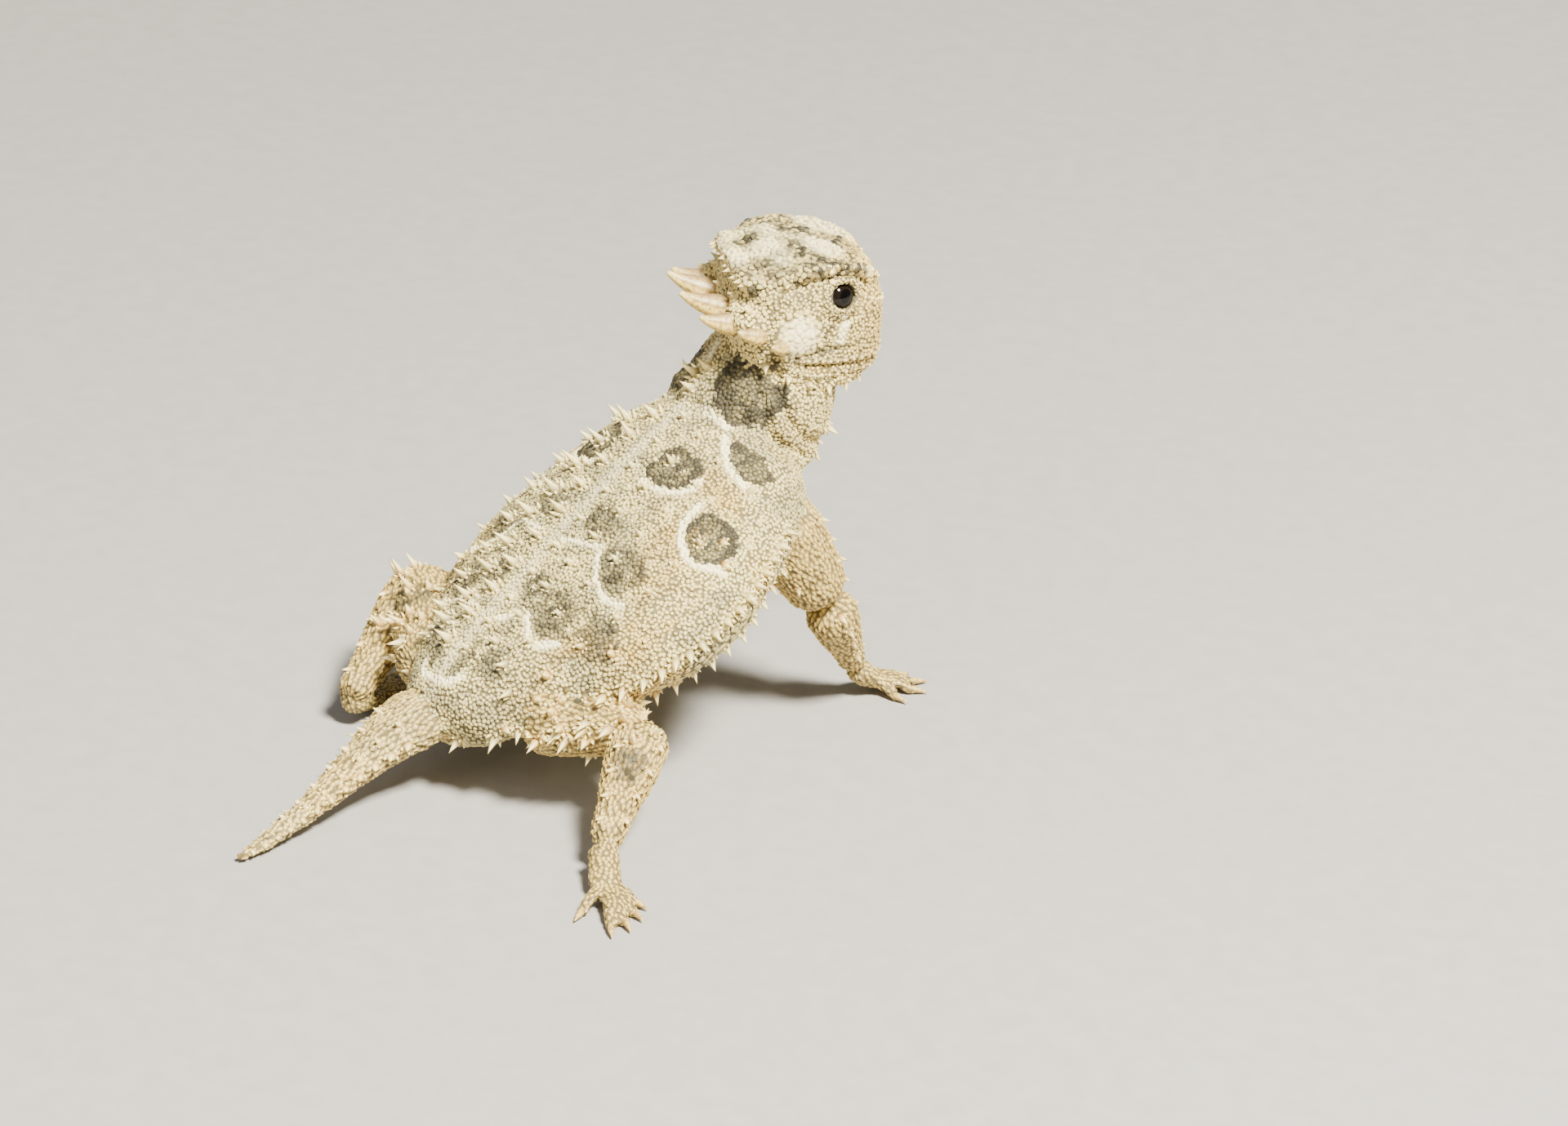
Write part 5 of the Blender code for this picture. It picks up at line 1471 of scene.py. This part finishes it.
# %% Make eyes and claws
eyes = []
for side, name in ((-1, "eye_right"), (1, "eye_left")):
    bm = bmesh.new()
    bmesh.ops.create_uvsphere(bm, u_segments=48, v_segments=32, radius=EYE_RADIUS - 0.03)
    gaze = (EYE_WAYS[side] + head_turn @ Vector((0, -0.12, 0.0))).normalized()
    facing = gaze.to_track_quat("Z", "Y").to_matrix().to_4x4()
    bm.transform(Matrix.Translation(EYE_MIDDLES[side]) @ facing)
    from_pupil = [(vert.co - EYE_MIDDLES[side]).normalized().angle(gaze) for vert in bm.verts]
    ball = finished(bm, "glossy_" + name)
    add_marks(ball.data, np.array([(angle, 0, 0, 1) for angle in from_pupil]))
    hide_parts(name)
    eyes.append(ball)
claw_bm = bmesh.new()
for leg in LEGS.values():
    for at, way in claw_places(leg):
        down = Vector((0, 0, -1))
        bm, _, _ = tube(round_stations(
            (at - way * 0.4, 0.24), (at + way * 0.2, 0.27), (at + way * 0.7 + down * 0.02, 0.17),
            (at + way * CLAW_LENGTH * 0.97 + down * 0.04, 0.03)), 10, 14)
        loose = bpy.data.meshes.new("claw")
        bm.to_mesh(loose)
        bm.free()
        claw_bm.from_mesh(loose)
        bpy.data.meshes.remove(loose)
claws = finished(claw_bm, "claws")
print("eyes:", len(eyes), "claws:", sum(len(leg.toes) for leg in LEGS.values()))

# %% [markdown]
# ## Surfaces
# Each surface is named for what it is. Skin and scales share one colour recipe that reads the
# stored markings, so they agree wherever one shows between the other: cream skin, darker spots,
# crisp pale edges, tan warmth, a grain at the size of real pigment specks, and painted shade low
# on the scales and in the grooves between them. Horn and claws are keratin, a dense and slightly
# glossy stuff. The eye is dark and wet, so it mirrors the lamp.
#
# A recipe names a base colour and the layers over it. Each layer takes over where its value passes
# from a low to a high number, up to a strength, so the order of the layers is the order of paint.

# %% Helpers for materials


def linear(code):
    """A colour for the shader from the hex code of how it looks on screen."""
    parts = [int(code[k:k + 2], 16) / 255 for k in (1, 3, 5)]
    return (*(p / 12.92 if p <= 0.04045 else ((p + 0.055) / 1.055) ** 2.4 for p in parts), 1.0)


def node(tree, kind, inputs=(), **settings):
    """Adds a node with its settings; an input is a link, a number or a hex colour."""
    made = tree.nodes.new("ShaderNode" + kind)
    for key, value in settings.items():
        setattr(made, key, value)
    for key, value in dict(inputs).items():
        if isinstance(value, bpy.types.NodeSocket):
            tree.links.new(value, made.inputs[key])
        else:
            made.inputs[key].default_value = linear(value) if isinstance(value, str) else value
    return made


def layered(tree, colour, layers):
    """Lays colours over one another, each where its value passes from low to high."""
    for value, low, high, strength, over in layers:
        share = node(tree, "MapRange", {0: value, 1: low, 2: high, 4: strength}).outputs[0]
        colour = node(tree, "Mix", {0: share, 6: colour, 7: over}, data_type="RGBA").outputs[2]
    return colour


# Pigment specks, blotches of them and broad clouds, and the depth of the finest relief
GRAIN_SIZES = (0.12, 0.3, 2.4)
RELIEF = 0.03


def surface(name, roughness, recipe, bump=0.4, **fixed):
    """A material coloured by a recipe from the marks, the rise and the grains.

    The finest grain also gives its relief. Other settings go straight on the shader's sockets.
    """
    made = bpy.data.materials.new(name)
    made.use_nodes = True
    tree, shader = made.node_tree, made.node_tree.nodes["Principled BSDF"]
    shader.inputs["Roughness"].default_value = roughness
    for key, value in fixed.items():
        shader.inputs[key.replace("_", " ")].default_value = value
    stored = node(tree, "Attribute", attribute_name="marks").outputs
    marks = [*node(tree, "SeparateColor", {0: stored["Color"]}).outputs, stored["Alpha"]]
    rise = node(tree, "Attribute", attribute_name="rise").outputs["Fac"]
    place = node(tree, "TexCoord").outputs["Object"]
    grains = [
        node(tree, "TexNoise", {"Vector": place, "Scale": 1 / (size * MM), "Detail": 3.0}).outputs["Fac"]
        for size in GRAIN_SIZES]
    base, layers = recipe(marks, rise, grains)
    tree.links.new(layered(tree, base, layers), shader.inputs["Base Color"])
    if bump:
        relief = node(tree, "Bump", {"Height": grains[0], "Strength": bump, "Distance": RELIEF * MM})
        tree.links.new(relief.outputs[0], shader.inputs["Normal"])
    return made


print("grains of", GRAIN_SIZES, "mm")

# %% Skin, scales and thorns


def hide(marks, rise, grains):
    """Granular reptile skin: cream, clouded grey, warm or dark where marked, and painted shade in its
    grooves.
    """
    dark, white, warm, mottle = marks
    return "#f3de90", (
        (mottle, 0.9, 0.1, 0.75, "#a49a70"), (grains[2], 0.44, 0.66, 0.4, "#b9ad7e"),
        (warm, 0.0, 1.0, 0.85, "#e8bd55"), (dark, 0.0, 0.92, 1.0, "#2f2c1b"),
        # Painted shade: darker low on each scale's sides, and on the bare skin between scales, whose
        # rise reads 0
        (grains[1], 0.6, 0.7, 0.45, "#463b24"), (rise, 0.85, 0.35, 0.85, "#4a4026"),
        (white, 0.0, 1.0, 0.9, "#fdf0be"))


def thorn(marks, rise, grains):
    """Thorn keratin: dark at the foot, partly its own brown and partly painted shade, pale yellow above
    and brown at the very tip.
    """
    dark, _, warm, mottle = marks
    return "#dccb88", (
        (mottle, 1.0, 0.0, 0.6, "#a1956c"), (warm, 0.0, 1.0, 0.8, "#e0ab4e"),
        (dark, 0.0, 1.0, 0.9, "#4d4630"), (rise, 0.15, 0.55, 0.9, "#f6e49c"),
        # The dark foot is partly the thorn's brown base and partly painted shade where it meets the skin
        (rise, 0.76, 0.96, 0.6, "#a0662c"), (rise, 0.3, -0.1, 0.85, "#5e4420"),
        (grains[1], 0.54, 0.68, 0.35, "#85693c"))


surfaces = {
    "skin": surface("granular_reptile_skin", 0.7, hide, IOR=1.45),
    "scale": surface("rough_keratin_scales", 0.6, hide, IOR=1.45),
    "thorn": surface("thorn_keratin", 0.5, thorn, 0.3, IOR=1.5)}
add_marks(skin.data, marks)
skin.data.materials.append(surfaces["skin"])
for piece in coat:
    is_thorn = piece.name.startswith(("thorns", "rosettes"))
    piece.data.materials.append(surfaces["thorn" if is_thorn else "scale"])
print("skin and", len(coat), "coat pieces surfaced")

# %% Horn, claw and eye
CLAW_MARKS = (0.4, 0.3, 0.5, 0.5)


def keratin(marks, rise, grains):
    """Horn keratin: cream yellow, streaked grey brown above, paler at the tip."""
    upper, share, _, streak = marks
    return "#ecca6a", (
        (upper, 0.0, 0.9, 0.75, "#7a6650"), (grains[1], 0.48, 0.62, 0.7, "#84622e"),
        (streak, 0.6, 1.0, 0.5, "#6b5440"), (share, 0.16, 0.0, 0.85, "#463a22"),
        (share, 0.7, 1.0, 0.5, "#f2d98c"))


def wet(marks, rise, grains):
    """A wet eyeball: black pupil, dark brown iris, and grey where the white begins."""
    angle = marks[0]
    return "#030202", ((angle, 0.42, 0.46, 1.0, "#140d08"), (angle, 0.84, 0.92, 1.0, "#5a544a"))


surfaces["horn"] = surface("horn_keratin", 0.42, keratin, 0.3, IOR=1.54)
surfaces["claw"] = surface("claw_keratin", 0.4, keratin, 0.2, IOR=1.54)
surfaces["eye"] = surface("wet_eyeball", 0.05, wet, 0.0, IOR=1.34)
for horn in horns:
    horn.data.materials.append(surfaces["horn"])
claws.data.materials.append(surfaces["claw"])
add_marks(claws.data, np.tile(CLAW_MARKS, (len(claws.data.vertices), 1)))
for eye in eyes:
    eye.data.materials.append(surfaces["eye"])
print("materials:", ", ".join(made.name for made in surfaces.values()))

# %% [markdown]
# ## Setting the animal down
# Every piece was drawn in millimetres, unmoved. One transform of its mesh scales it to metres and
# puts it where the solids are, so each object stays at the origin. A scale that would reach past
# the solids' box is pressed in to it. The skin stands for the flesh nodes, and all pieces ride on
# the one still body.

EDGE = 0.00002
CREASE = 38
FLESH = ["torso", "neck", "head", "tail"] + [
    f"{length}_{name.split('_')[1]}" for name in LEGS for length in LENGTHS[name.split("_")[0]]]
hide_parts(*FLESH)
all_pieces = [skin, claws] + coat + horns + eyes
least, most = (np.array(corner) for corner in CAD_BOX)
for piece in all_pieces:
    piece.data.transform(SET_DOWN)
    put_back(piece, np.clip(coords(piece), least + EDGE, most - EDGE))
    piece.data.polygons.foreach_set("use_smooth", [True] * len(piece.data.polygons))
    if piece.name.startswith(("plates", "scales", "keeled")):
        piece.data.set_sharp_from_angle(angle=math.radians(CREASE))
    piece.data.update()
    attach(piece, "root")
print("pieces:", len(all_pieces), "triangles:",
      sum(len(face.vertices) - 2 for piece in all_pieces for face in piece.data.polygons))

# %% [markdown]
# ## Floor, light and camera
# A pale matt floor and a soft lamp, high over the camera's right shoulder, give the shade of the
# photograph, with a weak fill from the left. The camera's direction, distance and lens were fitted
# to the photographed animal, whose place in the frame of 1920 by 1379 pixels is kept by the shift.

# %% Floor and light
FLOOR_HALF = 3.0
floor_bm = bmesh.new()
bmesh.ops.create_grid(floor_bm, x_segments=2, y_segments=2, size=FLOOR_HALF)
floor = finished(floor_bm, "floor")


def card(marks, rise, grains):
    """A matt card, barely clouded."""
    return "#9c9890", ((grains[2], 0.3, 0.7, 1.0, "#a29e96"),)


matt = surface("matt_card", 0.9, card, 0.0)
floor.data.materials.append(matt)

world = bpy.data.worlds.new("studio")
bpy.context.scene.world = world
world.use_nodes = True
sky = world.node_tree.nodes["Background"]
sky.inputs["Color"].default_value = linear("#eceef0")
sky.inputs["Strength"].default_value = 0.32

CAMERA_AZIMUTH, CAMERA_ELEVATION = 235.0, 26.0
FOCAL_LENGTH, SENSOR = 150.0, 36.0
PHOTO = (1920, 1379)
# One point of the animal, the photo's pixel that shows it, and the photo's scale there
AIM, AIM_PIXEL, PIXELS_A_MM = Vector((0.0, -1.5, 11.2)), (542, 793), 15.2
LAMP_HEIGHT = 0.018


def toward(azimuth, elevation):
    """The direction from the animal to a point at this azimuth and elevation."""
    a, e = math.radians(azimuth), math.radians(elevation)
    return Vector((math.sin(a) * math.cos(e), -math.cos(a) * math.cos(e), math.sin(e)))


def add_lamp(name, azimuth, elevation, distance, size, power, colour):
    """A square soft lamp that faces the animal."""
    lamp = bpy.data.lights.new(name, "AREA")
    lamp.size = size
    lamp.energy = power
    lamp.color = linear(colour)[:3]
    body = bpy.data.objects.new(name, lamp)
    bpy.context.scene.collection.objects.link(body)
    way = toward(azimuth, elevation)
    body.location = way * distance + Vector((0, 0, LAMP_HEIGHT))
    body.rotation_euler = way.to_track_quat("Z", "Y").to_euler()


add_lamp("key_light", 268, 56, 0.6, 0.12, 21.0, "#fffcf3")
add_lamp("fill_light", 190, 30, 0.7, 0.5, 1.4, "#f4f6ff")
print("lamps:", len(bpy.data.lights))

# %% Camera
camera_data = bpy.data.cameras.new("photo_camera")
camera_data.lens = FOCAL_LENGTH
camera_data.sensor_width = SENSOR
camera = bpy.data.objects.new("photo_camera", camera_data)
bpy.context.scene.collection.objects.link(camera)
view_way = toward(CAMERA_AZIMUTH, CAMERA_ELEVATION)
reach = FOCAL_LENGTH / SENSOR * PHOTO[0] / PIXELS_A_MM
camera.location = SET_DOWN @ (AIM + view_way * reach)
camera.rotation_euler = view_way.to_track_quat("Z", "Y").to_euler()
camera_data.shift_x = -(AIM_PIXEL[0] - PHOTO[0] / 2) / PHOTO[0]
camera_data.shift_y = (AIM_PIXEL[1] - PHOTO[1] / 2) / PHOTO[0]
camera_data.clip_start = 0.01
camera_data.clip_end = 20.0
bpy.context.scene.camera = camera
print("camera", round(reach), "mm away, shift",
      round(camera_data.shift_x, 3), round(camera_data.shift_y, 3))
